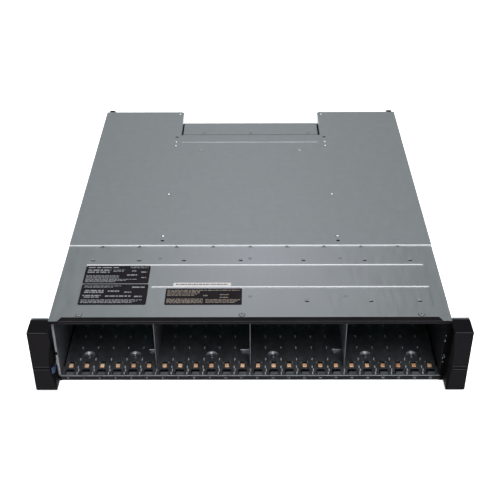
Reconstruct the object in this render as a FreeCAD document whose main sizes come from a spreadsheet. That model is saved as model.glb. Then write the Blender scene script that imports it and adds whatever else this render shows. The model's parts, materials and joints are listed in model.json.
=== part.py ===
# A two-unit rack enclosure for storage: a zinc-plated sheet-metal body with 24 empty upright drive bays in
# front, and two power supplies and two controllers behind. X runs across the front, Y runs from front to rear
# and Z runs up. The origin is the middle of the footprint, on the surface that the enclosure stands on.
import FreeCAD, Part
import math
import os
import Sketcher

doc = FreeCAD.newDocument("storage_enclosure")

# Driving dimensions, in millimetres, each with what it measures.
# Distances along Y are measured from the front face of the rack flanges.
SIZES = (
    ("body_height", 87.9, "underside of the base to the top of the rear cover"),
    ("body_depth", 507.0, "rack flange face to the rear edge"),
    ("nose_reach", 5.7, "body ahead of the rack flange face"),
    ("sheet", 1.2, "thickness of the body sheet"),
    ("side_space", 3.3, "space between a cage wall and its side panel"),
    ("split_back", 2.3, "front edge of the rear cover behind the drive cage"),
    ("cover_lap", 6.7, "front cover tucked under the rear cover"),
    ("cover_edge_radius", 0.8, "rounding along the sides of the covers"),
    ("notch_width", 205.0, "notch of the rear cover, and the controller bay under it"),
    ("notch_depth", 77.0, "notch from the rear edge forwards"),
    ("notch_radius", 4.0, "rounded corners at the mouth of the notch"),
    ("lip_side_gap", 2.5, "raised strip short of the sides of the notch"),
    ("lip_length", 21.0, "raised strip from front to rear"),
    ("lip_rise", 0.8, "raised strip above the cover"),
    ("hole_line", 4.3, "rivet and hole lines outside the module walls"),
    ("hole_width", 4.0, "square holes of the rear cover, across"),
    ("hole_length", 3.0, "square holes of the rear cover, front to rear"),
    ("hole_front_back", 8.9, "front pair of square holes behind the cover's front edge"),
    ("hole_rear_ahead", 5.5, "rear pair of square holes ahead of the notch"),
    ("recess_depth", 0.5, "shallow pressed recess of the front cover"),
    ("recess_left_margin", 27.5, "recess from the left side of the body"),
    ("recess_right_margin", 16.5, "recess from the right side of the body"),
    ("recess_stem", 81.0, "left block of the recess, across"),
    ("recess_front", 23.5, "front edge of the recess"),
    ("recess_rear", 102.5, "rear edge of the recess"),
    ("band_front", 57.7, "front edge of the raised band in the recess"),
    ("band_rear", 77.5, "rear edge of the raised band in the recess"),
    ("slot_row_ahead", 4.0, "row of small slots ahead of the rear cover"),
    ("slot_pitch", 45.0, "small slots, centre to centre"),
    ("slot_length", 6.0, "small slot, across"),
    ("slot_width", 1.6, "small slot, front to rear"),
    ("screw_y", 8.0, "cover screws behind the rack flange face"),
    ("screw_radius", 2.7, "head of a cover screw"),
    ("screw_rise", 1.0, "head of a cover screw above the cover"),
    ("rivet_radius", 2.0, "rivet heads of the rear cover"),
    ("rivet_rise", 0.6, "rivet heads above the cover"),
    ("rivet_front_back", 10.0, "front rivets behind the front square holes"),
    ("rivet_middle_back", 110.0, "middle rivets behind the front square holes"),
    ("rivet_pair", 11.5, "pair of rivets beside the raised strip"),
    ("rivet_rear_ahead", 8.5, "rear rivets ahead of the rear edge"),
    ("trim_end_gap", 10.0, "ends of the trim strip from the sides of the body"),
    ("trim_length", 6.9, "trim strip on the cover, front to rear"),
    ("trim_corner", 4.0, "slanted rear corners of the trim strip"),
    ("trim_wall", 0.8, "thickness of the trim strip"),
    ("trim_drop", 4.0, "front leaf of the trim strip below its top"),
    ("cage_sheet", 1.0, "thickness of the drive cage sheet"),
    ("cage_floor_top", 6.7, "underside of the base to the top of the cage floor"),
    ("cage_rear", 141.0, "rear end of the drive cage, where the midplane stands"),
    ("bay_pitch", 18.0, "drive bays, centre to centre"),
    ("mouth_notch_foot", 37.5, "notch in the mouth flanges of the cage, above the underside"),
    ("mouth_notch_height", 4.5, "notch in the mouth flanges, upright"),
    ("lower_lip_back", 2.4, "lower front lip behind the nose"),
    ("number_strip_height", 5.0, "black strip with the bay numbers"),
    ("number_strip_wall", 0.6, "thickness of the number strip"),
    ("divider_front", 9.9, "front edge of the bay dividers"),
    ("contact_width", 4.4, "copper contact spring, across"),
    ("contact_front", 11.2, "front end of a contact spring"),
    ("contact_length", 4.8, "contact spring, front to rear"),
    ("contact_rise", 1.2, "contact spring above the cage floor"),
    ("contact_bow_back", 2.2, "highest bend of a contact spring behind its front end"),
    ("contact_bow_rise", 0.9, "highest bend of a contact spring above the cage floor"),
    ("latch_hole_width", 5.6, "hole behind each contact spring, across"),
    ("latch_hole_length", 5.6, "hole behind each contact spring, front to rear"),
    ("ramp_width", 9.6, "front slot of each bay, across"),
    ("ramp_front", 4.2, "front edge of the front slot"),
    ("ramp_length", 3.4, "front slot, front to rear"),
    ("lance_width", 1.0, "guide lance, across"),
    ("lance_length", 3.0, "guide lance, front to rear"),
    ("lance_rise", 1.2, "guide lance above the cage floor"),
    ("lance_stagger", 1.1, "front lances off the bay line"),
    ("lance_front", 0.3, "first front lance"),
    ("lance_front_pitch", 5.3, "front lances, centre to centre"),
    ("lance_row", 24.3, "first row of single lances"),
    ("lance_row_pitch", 20.4, "rows of single lances, centre to centre"),
    ("dish_y", 32.7, "row of round screw recesses in the cage floor"),
    ("dish_radius", 6.8, "round screw recess at the floor"),
    ("dish_depth", 2.4, "screw recesses below the floor"),
    ("dish_slope", 40.0, "slope of the recess walls, in degrees"),
    ("pocket_width", 10.5, "square recess beside each divider, across"),
    ("pocket_rear", 42.0, "rear wall of the square recesses"),
    ("pocket_length", 11.0, "square recess, front to rear"),
    ("board_thickness", 2.4, "midplane board"),
    ("board_clearance", 0.3, "midplane board below the front cover"),
    ("vent_width", 24.0, "air holes of the midplane board, across"),
    ("vent_height", 14.0, "air holes of the midplane board, upright"),
    ("vent_gap", 2.2, "air holes above the drive connectors"),
    ("drive_socket_width", 5.0, "drive connector, across"),
    ("drive_socket_height", 33.0, "drive connector, upright"),
    ("drive_socket_depth", 8.0, "drive connector, front to rear"),
    ("drive_socket_wall", 1.2, "walls of a drive connector"),
    ("socket_depth", 12.0, "connectors for the rear modules, front to rear"),
    ("socket_width", 60.0, "connectors for the rear modules, across"),
    ("socket_height", 9.0, "connectors for the rear modules, upright"),
    ("tongue_width", 50.0, "card edge of a module board, across"),
    ("tongue_clearance", 0.4, "card edge in its connector and in the case"),
    ("tongue_entry", 8.0, "card edge inside its connector"),
    ("module_run_in", 22.0, "front ends of the rear modules behind the start of their walls"),
    ("module_gap", 1.0, "power supply beside its bay walls"),
    ("module_clearance", 0.3, "modules above what carries them"),
    ("case_sheet", 1.0, "thickness of the module cases"),
    ("card_thickness", 1.6, "circuit boards of the modules"),
    ("card_lift", 4.0, "circuit boards above the floor of their case"),
    ("block_line", 26.0, "tall parts on a circuit board from its middle"),
    ("block_back", 80.0, "tall parts behind the front of their board"),
    ("transformer_width", 36.0, "transformer of a supply, across"),
    ("transformer_length", 50.0, "transformer of a supply, front to rear"),
    ("transformer_height", 40.0, "transformer of a supply, upright"),
    ("sink_width", 30.0, "heat sink of a supply, across"),
    ("sink_length", 120.0, "heat sink of a supply, front to rear"),
    ("sink_height", 46.0, "heat sink of a supply, upright"),
    ("cooler_width", 46.0, "processor cooler of a controller, across"),
    ("cooler_length", 60.0, "processor cooler of a controller, front to rear"),
    ("cooler_height", 18.0, "processor cooler of a controller, upright"),
    ("battery_width", 40.0, "battery of a controller, across"),
    ("battery_length", 90.0, "battery of a controller, front to rear"),
    ("battery_height", 15.0, "battery of a controller, upright"),
    ("supply_setback", 4.0, "power supply face inside the rear edge"),
    ("supply_head_gap", 2.0, "power supply below the rear cover"),
    ("controller_gap", 2.0, "controller beside its bay walls"),
    ("controller_setback", 22.0, "controller face inside the rear edge"),
    ("controller_head_gap", 6.7, "upper controller below the rear cover"),
    ("shelf_gap", 4.0, "lower controller below the shelf"),
    ("fan_size", 52.0, "square fan frame"),
    ("fan_depth", 20.0, "fan frame, front to rear"),
    ("fan_wall", 1.0, "thinnest wall round the fan's bore"),
    ("fan_outer_inset", 46.0, "fan axis from the outer side of its supply"),
    ("fan_top_inset", 34.0, "fan axis below the top of its supply"),
    ("fan_tip_gap", 0.8, "blade tips inside the bore"),
    ("fan_hub_radius", 11.0, "hub of the fan"),
    ("fan_rotor_depth", 14.0, "rotor, front to rear"),
    ("fan_plate", 1.6, "motor plate and struts of the fan frame"),
    ("fan_shaft_radius", 1.5, "fan shaft"),
    ("fan_shaft_play", 0.05, "fan shaft in its hub, on the radius"),
    ("fan_strut", 3.0, "struts of the fan frame, across"),
    ("blade_thickness", 1.2, "fan blade"),
    ("blade_root", 3.6, "start of a blade inside the hub"),
    ("blade_rise", 4.6, "half the depth of a blade"),
    ("blade_sweep", 5.4, "half the sweep of a blade"),
    ("hex_flat", 9.4, "honeycomb hole, between flats"),
    ("hex_web", 1.4, "web between honeycomb holes"),
    ("inlet_width", 27.0, "mains inlet, across"),
    ("inlet_height", 20.0, "mains inlet, upright"),
    ("inlet_depth", 18.0, "mains inlet behind the faceplate"),
    ("inlet_rise", 1.5, "rim of the mains inlet on the faceplate"),
    ("inlet_wall", 1.7, "walls of the mains inlet"),
    ("inlet_corner", 4.0, "slanted corners of the mains inlet"),
    ("inlet_inset", 19.0, "inlet axis from the inner side of its supply"),
    ("inlet_lift", 14.0, "inlet axis above the bottom of its supply"),
    ("rocker_width", 11.0, "rocker switch, across"),
    ("rocker_height", 16.0, "rocker switch, upright"),
    ("rocker_rise", 2.6, "rocker ends out of the faceplate"),
    ("rocker_tilt", 10.0, "rocker off its middle, in degrees"),
    ("rocker_gap", 0.8, "rocker in its hole"),
    ("rocker_drop", 18.0, "rocker axis below the top of its supply"),
    ("rocker_depth", 5.0, "rocker behind the faceplate"),
    ("lever_reach", 30.0, "cam handles behind the rear edge"),
    ("lever_width", 7.0, "cam handle of a supply, across"),
    ("lever_bar", 9.0, "grip bar of a cam handle"),
    ("lever_tip_rise", 2.3, "tip of a cam handle above its supply"),
    ("lever_heel", 5.5, "round heel of a cam handle, radius"),
    ("lever_gap", 0.8, "cam handle off the faceplate"),
    ("lever_foot", 6.0, "heel above the bottom of its supply"),
    ("pivot_radius", 2.0, "pivot pins of the cam handles"),
    ("pivot_play", 0.05, "pivot pin in its handle, on the radius"),
    ("lug_thickness", 1.0, "lugs beside a cam handle"),
    ("lug_gap", 0.3, "lug beside the handle"),
    ("latch_width", 8.0, "thumb latch, across"),
    ("latch_height", 12.0, "thumb latch, upright"),
    ("latch_rise", 6.0, "thumb latch out of the faceplate"),
    ("latch_travel", 3.0, "thumb latch towards the handle"),
    ("latch_drop", 3.0, "thumb latch below the top of its supply"),
    ("slide_gap", 0.2, "sliding pieces off their seats"),
    ("port_width", 24.0, "port cage of a controller, across"),
    ("port_height", 12.0, "port cage of a controller, upright"),
    ("port_depth", 16.0, "port cage, front to rear"),
    ("port_wall", 1.4, "walls of a port cage"),
    ("port_rise", 1.0, "port cage out of the faceplate"),
    ("port_pitch", 34.0, "port cages, centre to centre"),
    ("port_inset", 28.0, "first port from the left side of its controller"),
    ("arm_inset", 12.0, "pivot of a controller lever from the right side"),
    ("arm_length", 84.0, "controller lever, pivot to tip"),
    ("arm_height", 10.0, "controller lever, upright"),
    ("arm_reach", 23.0, "controller lever behind its faceplate"),
    ("ear_overhang", 20.0, "ears outside the side panels"),
    ("ear_reach", 22.4, "ears ahead of the rack flange face"),
    ("ear_foot", 2.2, "ears above the underside"),
    ("ear_head_gap", 2.0, "ears below the top of the rear cover"),
    ("left_ear_width", 23.9, "front face of the left ear"),
    ("right_ear_width", 21.5, "front face of the right ear"),
    ("ear_wall", 2.0, "walls of the hollow ears"),
    ("ear_radius", 1.2, "rounded edges of the ears"),
    ("ear_bevel_foot", 1.0, "inner bevel of the ears at their foot"),
    ("ear_bevel", 5.0, "inner bevel of the ears at the top of the groove"),
    ("ear_bevel_top", 0.6, "inner bevel of the ears at their top"),
    ("ear_gap", 0.3, "ears off the body"),
    ("groove_foot", 32.5, "groove of the ears above the underside"),
    ("groove_height", 4.9, "groove of the ears, upright"),
    ("groove_depth", 0.8, "groove of the ears, into the face"),
    ("button_width", 2.6, "blue button, across"),
    ("button_height", 8.5, "blue button, upright"),
    ("button_foot", 26.5, "blue button above the underside"),
    ("button_gap", 0.25, "blue button in its hole"),
    ("button_rise", 0.8, "blue button out of the bevel"),
    ("button_length", 11.0, "blue button, front to rear"),
    ("flange_sheet", 2.0, "thickness of the rack flanges"),
    ("flange_inset", 0.5, "rack flanges inside the outline of ears and body"),
    ("flange_radius", 2.0, "rounded corners of the rack flanges"),
    ("rack_hole_outset", 11.05, "rack holes outside the side panels"),
    ("rack_hole_lift", 5.85, "rack holes from the underside and from the top"),
    ("rack_slot_length", 10.0, "rack hole, across"),
    ("rack_slot_radius", 3.4, "half the height of a rack hole"),
)

dims = doc.addObject("Spreadsheet::Sheet", "dims")
for row, (alias, number, meaning) in enumerate(SIZES, start=1):
    dims.set(f"A{row}", meaning)
    dims.set(f"B{row}", str(number))
    dims.setAlias(f"B{row}", alias)
doc.recompute()


class Size:
    """A length with its formula in the sheet, so that features can be bound to it."""

    def __init__(self, formula, value):
        self.formula = formula
        self.value = value

    def joined(self, sign, other, value):
        return Size(f"({self.formula} {sign} {other.formula})", value)

    def __add__(self, other):
        other = size(other)
        return self.joined("+", other, self.value + other.value)

    def __sub__(self, other):
        other = size(other)
        return self.joined("-", other, self.value - other.value)

    def __mul__(self, other):
        other = size(other)
        return self.joined("*", other, self.value * other.value)

    def __truediv__(self, other):
        other = size(other)
        return self.joined("/", other, self.value / other.value)

    def __neg__(self):
        return self * -1

    def __rmul__(self, other):
        return size(other) * self

    def __rsub__(self, other):
        return size(other) - self


def size(number):
    """The number as a Size."""
    if isinstance(number, Size):
        return number
    return Size(str(float(number)), float(number))


def cell(alias):
    """The Size of one cell of the sheet."""
    return Size(f"dims.{alias}", float(dims.get(alias)))


class Sheet:
    """The driving dimensions by name."""


d = Sheet()
for alias, number, meaning in SIZES:
    setattr(d, alias, cell(alias))

# Places that several pieces share.
BAYS_PER_GROUP = 6
BAY_GROUPS = 4
SLOT_COUNT = 9
LANCE_ROWS = 2
LANCE_STAGGER = (-1, 1, -1)
BLADE_COUNT = 5
HEX_COLUMNS = 3
HEX_ROWS = 4
HEAD_SIDES = 8
HUB_SIDES = BLADE_COUNT * 2
flange_y = (d.ear_reach - d.body_depth - d.lever_reach) / 2
nose_y = -d.nose_reach
front_cover_top = d.body_height - d.sheet
front_cover_under = front_cover_top - d.sheet
rear_cover_under = d.body_height - d.sheet
cover_split = d.cage_rear + d.split_back
cover_lap_end = cover_split + d.cover_lap
group_width = d.bay_pitch * BAYS_PER_GROUP
cage_half = group_width * BAY_GROUPS / 2
cage_outside = cage_half + d.cage_sheet
half_width = cage_outside + d.side_space + d.sheet
ear_edge = half_width + d.ear_overhang
ear_top = d.body_height - d.ear_head_gap
cage_ceiling_under = front_cover_under - d.cage_sheet
board_rear = d.cage_rear + d.board_thickness
wall_inside = d.notch_width / 2
wall_outside = wall_inside + d.sheet
hole_x = wall_outside + d.hole_line
notch_y = d.body_depth - d.notch_depth
hole_front_y = cover_split + d.hole_front_back
hole_rear_y = notch_y - d.hole_rear_ahead
module_front = cover_lap_end + d.module_run_in
EVERY_BAY = ("X", d.bay_pitch, BAYS_PER_GROUP * BAY_GROUPS)
EVERY_PAIR = ("X", d.bay_pitch * 2, BAYS_PER_GROUP * BAY_GROUPS // 2)
GROUPED_LINES = (("X", d.bay_pitch, BAYS_PER_GROUP - 1), ("X", group_width, BAY_GROUPS))
DIVIDER_BAYS = (-6, 0, 6)
SCREW_BAYS = (-10.5, -0.5, 10.5)
DISH_BAYS = (-10.5, -7.5, -2.5, 1.5, 7.5, 10.5)

# Bodies with many holes in one face, which build faster when the faces of their sections stay apart.
SEAMED = ("drive_cage_floor", "drive_cage_ceiling", "left_supply_faceplate", "right_supply_faceplate")

# How close two places, and the cosine of two directions, must be to count as the same.
SAME_PLACE = 0.01
PARALLEL = 0.999

nodes = []


def new_body(label, x=None, y=None, z=None):
    """An empty body at (x, y, z), with y measured from the rack flange face."""
    body = doc.addObject("PartDesign::Body", label)
    body.Label = label
    body.AllowCompound = True
    for axis, place in (("x", x), ("y", flange_y if y is None else flange_y + y), ("z", z)):
        if place is not None:
            body.setExpression(f"Placement.Base.{axis}", place.formula)
    nodes.append(body)
    return body


def origin_feature(body, role):
    """The origin plane or axis of a body that has this role."""
    return next(feature for feature in body.Origin.OriginFeatures if feature.Role == role)


def new_sketch(body, plane, level=0):
    """A sketch on the XY, XZ or YZ plane of a body, moved to a level along the third axis."""
    sketch = body.newObject("Sketcher::SketchObject", f"{body.Label}_sketch")
    sketch.AttachmentSupport = [(origin_feature(body, f"{plane}_Plane"), "")]
    sketch.MapMode = "FlatFace"
    # The XZ plane faces -Y.
    offset = -size(level) if plane == "XZ" else size(level)
    sketch.setExpression("AttachmentOffset.Base.z", offset.formula)
    return sketch


def fix_point(sketch, geometry, point, place):
    """Bind a point of the sketch to its place."""
    for kind, distance in zip(("DistanceX", "DistanceY"), place):
        distance = size(distance)
        constraint = Sketcher.Constraint(kind, -1, 1, geometry, point, distance.value)
        index = sketch.addConstraint(constraint)
        sketch.setExpression(f"Constraints[{index}]", distance.formula)


def vector(place):
    """A place in a sketch as a vector."""
    return FreeCAD.Vector(size(place[0]).value, size(place[1]).value, 0)


def add_outline(sketch, corners, bows=None):
    """A closed outline through the corners; bows gives the middle of an arc after a numbered corner."""
    bows = bows or {}
    ends = []
    for number, corner in enumerate(corners):
        start = vector(corner)
        stop = vector(corners[(number + 1) % len(corners)])
        if number in bows:
            arc = Part.Arc(start, vector(bows[number]), stop)
            index = sketch.addGeometry(arc, False)
            forwards = sketch.getPoint(index, 1).distanceToPoint(start) < SAME_PLACE
            ends.append((index, 1, 2) if forwards else (index, 2, 1))
            middle = sketch.addGeometry(Part.Point(vector(bows[number])), True)
            sketch.addConstraint(Sketcher.Constraint("PointOnObject", middle, 1, index))
            fix_point(sketch, middle, 1, bows[number])
        else:
            index = sketch.addGeometry(Part.LineSegment(start, stop), False)
            ends.append((index, 1, 2))
    for number, corner in enumerate(corners):
        index, first, last = ends[number]
        following, following_first, _ = ends[(number + 1) % len(corners)]
        sketch.addConstraint(Sketcher.Constraint("Coincident", index, last, following, following_first))
        fix_point(sketch, index, first, corner)


def add_box(sketch, low, high):
    """A rectangle between two corners."""
    add_outline(sketch, [low, (high[0], low[1]), high, (low[0], high[1])])


def add_centred_box(sketch, centre, width, height):
    """A rectangle round its centre."""
    low = (centre[0] - width / 2, centre[1] - height / 2)
    high = (centre[0] + width / 2, centre[1] + height / 2)
    add_box(sketch, low, high)


def add_circle(sketch, centre, radius):
    """A circle."""
    circle = Part.Circle(vector(centre), FreeCAD.Vector(0, 0, 1), radius.value)
    index = sketch.addGeometry(circle, False)
    fix_point(sketch, index, 3, centre)
    constraint = sketch.addConstraint(Sketcher.Constraint("Radius", index, radius.value))
    sketch.setExpression(f"Constraints[{constraint}]", radius.formula)


def add_flat_sided(sketch, centre, radius, sides):
    """A small round shape drawn with a few flat sides, with one of them square to the first axis."""
    turn = 2 * math.pi / sides
    corners = []
    for number in range(sides):
        angle = turn * (number + 0.5)
        corners.append((centre[0] + radius * math.cos(angle), centre[1] + radius * math.sin(angle)))
    add_outline(sketch, corners)


def add_slot(sketch, centre, length, radius):
    """A level slot with round ends."""
    reach = length / 2 - radius
    left, right = centre[0] - reach, centre[0] + reach
    low, high = centre[1] - radius, centre[1] + radius
    corners = [(left, low), (right, low), (right, high), (left, high)]
    bows = {1: (right + radius, centre[1]), 3: (left - radius, centre[1])}
    add_outline(sketch, corners, bows)


def pad(body, sketch, length, way=1):
    """Add material along the world axis, the way that is given."""
    feature = body.newObject("PartDesign::Pad", f"{body.Label}_pad")
    feature.Profile = sketch
    feature.setExpression("Length", size(length).formula)
    faces_minus_y = sketch.AttachmentSupport[0][0].Role == "XZ_Plane"
    feature.Reversed = (way < 0) != faces_minus_y
    feature.Refine = body.Label not in SEAMED
    return feature


def pocket(body, sketch, length, way, slope=None):
    """Take material away along the world axis, the way that is given."""
    doc.recompute()
    before = body.Shape.Volume
    feature = body.newObject("PartDesign::Pocket", f"{body.Label}_pocket")
    feature.Profile = sketch
    feature.setExpression("Length", size(length).formula)
    if slope is not None:
        feature.setExpression("TaperAngle", slope.formula)
    faces_minus_y = sketch.AttachmentSupport[0][0].Role == "XZ_Plane"
    feature.Reversed = (way > 0) != faces_minus_y
    feature.Refine = body.Label not in SEAMED
    doc.recompute()
    if body.Shape.Volume >= before:
        raise RuntimeError(f"a pocket of {body.Label} cuts nothing")
    return feature


def repeat(body, features, *steps):
    """Repeat features in rows; each step of (axis, pitch, count) repeats what the steps before it made."""
    pattern = body.newObject("PartDesign::MultiTransform", f"{body.Label}_rows")
    pattern.Originals = features
    rows = []
    for axis, pitch, count in steps:
        row = body.newObject("PartDesign::LinearPattern", f"{body.Label}_row")
        row.Direction = (origin_feature(body, f"{axis}_Axis"), [""])
        row.setExpression("Length", (pitch * (count - 1)).formula)
        row.Occurrences = count
        rows.append(row)
    pattern.Transformations = rows
    pattern.Refine = False
    body.Tip = pattern
    doc.recompute()
    return pattern


def round_edges(body, radius, direction, wanted):
    """Round the straight edges along a direction whose middle passes the test."""
    doc.recompute()
    base = body.Tip
    names = []
    for number, edge in enumerate(base.Shape.Edges, start=1):
        straight = edge.Curve.TypeId == "Part::GeomLine"
        if straight and abs(edge.tangentAt(edge.FirstParameter).dot(direction)) > PARALLEL:
            if wanted(edge.CenterOfMass):
                names.append(f"Edge{number}")
    if not names:
        raise RuntimeError(f"{body.Label} has no such edge to round")
    feature = body.newObject("PartDesign::Fillet", f"{body.Label}_fillet")
    feature.Base = (base, names)
    feature.setExpression("Radius", radius.formula)
    doc.recompute()
    return feature


ALONG_X = FreeCAD.Vector(1, 0, 0)
ALONG_Y = FreeCAD.Vector(0, 1, 0)
ALONG_Z = FreeCAD.Vector(0, 0, 1)


def near(a, b):
    """Whether a coordinate is at a Size."""
    return abs(a - b.value) < SAME_PLACE


def sided(side, inner, outer):
    """The span between two distances from the middle, on the left (-1) or right (1) side."""
    if side > 0:
        return inner, outer
    return -outer, -inner


def side_name(side):
    """The word for a side."""
    return "right" if side > 0 else "left"


# The sheet-metal body.

def make_chassis_base():
    """Bottom sheet with the lower front lip turned up."""
    body = new_body("chassis_base")
    lip_y = nose_y + d.lower_lip_back
    bottom = new_sketch(body, "XY")
    add_box(bottom, (-half_width, lip_y), (half_width, d.body_depth))
    pad(body, bottom, d.sheet)
    lip = new_sketch(body, "XY", d.sheet)
    add_box(lip, (-cage_outside, lip_y), (cage_outside, lip_y + d.sheet))
    pad(body, lip, d.cage_floor_top - d.sheet)


def make_side_panel(side):
    """Upright side sheet, stepped down where it carries the front cover."""
    body = new_body(f"{side_name(side)}_side_panel")
    left, _ = sided(side, half_width - d.sheet, half_width)
    panel = new_sketch(body, "YZ", left)
    corners = [
        (nose_y, d.sheet),
        (d.body_depth, d.sheet),
        (d.body_depth, rear_cover_under),
        (cover_lap_end, rear_cover_under),
        (cover_lap_end, front_cover_under),
        (nose_y, front_cover_under),
    ]
    add_outline(panel, corners)
    pad(body, panel, d.sheet)


def make_rear_cover():
    """Rear top sheet with the notch over the controllers, its raised lip and square holes."""
    body = new_body("rear_top_cover")
    cover = new_sketch(body, "XY", rear_cover_under)
    corners = [
        (-half_width, cover_split),
        (half_width, cover_split),
        (half_width, d.body_depth),
        (wall_inside, d.body_depth),
        (wall_inside, notch_y),
        (-wall_inside, notch_y),
        (-wall_inside, d.body_depth),
        (-half_width, d.body_depth),
    ]
    add_outline(cover, corners)
    pad(body, cover, d.sheet)
    round_edges(body, d.cover_edge_radius, ALONG_Y,
                lambda at: near(abs(at.x), half_width) and near(at.z, d.body_height))
    round_edges(body, d.notch_radius, ALONG_Z,
                lambda at: near(abs(at.x), wall_inside) and near(at.y, d.body_depth))
    lip = new_sketch(body, "XY", d.body_height)
    lip_half = wall_inside - d.lip_side_gap
    add_box(lip, (-lip_half, notch_y - d.lip_length), (lip_half, notch_y))
    pad(body, lip, d.lip_rise)
    holes = new_sketch(body, "XY", d.body_height)
    for hole_y in (hole_front_y, hole_rear_y):
        for side in (-1, 1):
            add_centred_box(holes, (side * hole_x, hole_y), d.hole_width, d.hole_length)
    pocket(body, holes, d.sheet, way=-1)


def make_front_cover():
    """Front top sheet with its pressed recess and slots."""
    body = new_body("front_top_cover")
    cover = new_sketch(body, "XY", front_cover_under)
    add_box(cover, (-half_width, nose_y), (half_width, cover_lap_end))
    pad(body, cover, d.sheet)
    round_edges(body, d.cover_edge_radius, ALONG_Y,
                lambda at: near(abs(at.x), half_width) and near(at.z, front_cover_top))
    recess = new_sketch(body, "XY", front_cover_top)
    left = d.recess_left_margin - half_width
    right = half_width - d.recess_right_margin
    stem = left + d.recess_stem
    corners = [
        (left, d.recess_front),
        (right, d.recess_front),
        (right, d.band_front),
        (stem, d.band_front),
        (stem, d.band_rear),
        (right, d.band_rear),
        (right, d.recess_rear),
        (left, d.recess_rear),
    ]
    add_outline(recess, corners)
    pocket(body, recess, d.recess_depth, way=-1)
    slot = new_sketch(body, "XY", front_cover_top)
    first_slot = d.slot_pitch * (1 - SLOT_COUNT) / 2
    slot_row_y = cover_split - d.slot_row_ahead
    add_centred_box(slot, (first_slot, slot_row_y), d.slot_length, d.slot_width)
    repeat(body, [pocket(body, slot, d.sheet, way=-1)], ("X", d.slot_pitch, SLOT_COUNT))


def make_cover_screws():
    """Screw heads along the front edge of the front cover."""
    body = new_body("cover_screws")
    heads = new_sketch(body, "XY", front_cover_top)
    for bay in SCREW_BAYS:
        add_flat_sided(heads, (d.bay_pitch * bay, d.screw_y), d.screw_radius, HEAD_SIDES)
    pad(body, heads, d.screw_rise)


def make_cover_rivets():
    """Rivet heads along the module walls, on the rear cover."""
    body = new_body("cover_rivets")
    heads = new_sketch(body, "XY", d.body_height)
    rows = (
        hole_front_y + d.rivet_front_back,
        hole_front_y + d.rivet_middle_back,
        notch_y - d.lip_length - d.rivet_pair,
        notch_y - d.lip_length,
        d.body_depth - d.rivet_rear_ahead,
    )
    for row_y in rows:
        for side in (-1, 1):
            add_flat_sided(heads, (side * hole_x, row_y), d.rivet_radius, HEAD_SIDES)
    pad(body, heads, d.rivet_rise)


def make_rack_flange(side):
    """Upright flange that the enclosure is screwed to a rack with."""
    body = new_body(f"{side_name(side)}_rack_flange")
    low, high = d.flange_inset, d.body_height - d.flange_inset
    edge = ear_edge - d.flange_inset
    left, right = sided(side, half_width, edge)
    plate = new_sketch(body, "XZ")
    add_box(plate, (left, low), (right, high))
    pad(body, plate, d.flange_sheet)
    round_edges(body, d.flange_radius, ALONG_Y, lambda at: near(abs(at.x), edge))
    slots = new_sketch(body, "XZ")
    slot_x = half_width + d.rack_hole_outset
    for slot_z in (d.rack_hole_lift, d.body_height - d.rack_hole_lift):
        add_slot(slots, (side * slot_x, slot_z), d.rack_slot_length, d.rack_slot_radius)
    pocket(body, slots, d.flange_sheet, way=1)


# The drive cage and what is mounted on it.

def bay_line(number):
    """The line between two bays, counted from the middle."""
    return d.bay_pitch * number


def add_bay_slots(sketch, middle):
    """Front slot and latch hole of one bay."""
    half_ramp = d.ramp_width / 2
    add_box(sketch, (middle - half_ramp, d.ramp_front), (middle + half_ramp, d.ramp_front + d.ramp_length))
    hole_front = d.contact_front + d.contact_length
    half_hole = d.latch_hole_width / 2
    add_box(sketch, (middle - half_hole, hole_front), (middle + half_hole, hole_front + d.latch_hole_length))


def add_lance(body, x, y, level, way=1):
    """One guide lance: a wedge on the sheet at this level, which gets higher towards the rear."""
    wedge = new_sketch(body, "YZ", x - d.lance_width / 2)
    front = y - d.lance_length / 2
    rear = y + d.lance_length / 2
    add_outline(wedge, [(front, level), (rear, level), (rear, level + way * d.lance_rise)])
    return pad(body, wedge, d.lance_width)


def add_front_lances(body, line, stagger):
    """The front lances on one bay line of the floor, each on its side of the line."""
    lances = []
    for number, offset in enumerate(stagger):
        x = line + offset * d.lance_stagger / 2
        y = d.lance_front + d.lance_front_pitch * number
        lances.append(add_lance(body, x, y, d.cage_floor_top))
    return lances


def make_cage_floor():
    """Cage floor: four like sections with bay slots and guide lances, and pressed screw recesses."""
    body = new_body("drive_cage_floor")
    lip_rear = nose_y + d.lower_lip_back + d.sheet
    section = new_sketch(body, "XY", d.cage_floor_top)
    add_box(section, (-cage_half, lip_rear), (group_width - cage_half, d.cage_rear))
    repeat(body, [pad(body, section, d.cage_sheet, way=-1)], ("X", group_width, BAY_GROUPS))
    edges = new_sketch(body, "XY", d.cage_floor_top)
    for side in (-1, 1):
        left, right = sided(side, cage_half, cage_outside)
        add_box(edges, (left, lip_rear), (right, d.cage_rear))
    pad(body, edges, d.cage_sheet, way=-1)
    for bay in DIVIDER_BAYS:
        add_front_lances(body, bay_line(bay), LANCE_STAGGER[:-1])
    add_screw_recesses(body)
    # The long rows come last, because every later feature is slow on a face with so many holes.
    slots = new_sketch(body, "XY", d.cage_floor_top)
    add_bay_slots(slots, d.bay_pitch / 2 - cage_half)
    repeat(body, [pocket(body, slots, d.cage_sheet, way=-1)], EVERY_BAY)
    line = d.bay_pitch - cage_half
    repeat(body, add_front_lances(body, line, LANCE_STAGGER), *GROUPED_LINES)
    lance = add_lance(body, line, d.lance_row, d.cage_floor_top)
    repeat(body, [lance], ("Y", d.lance_row_pitch, LANCE_ROWS), *GROUPED_LINES)


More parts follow.
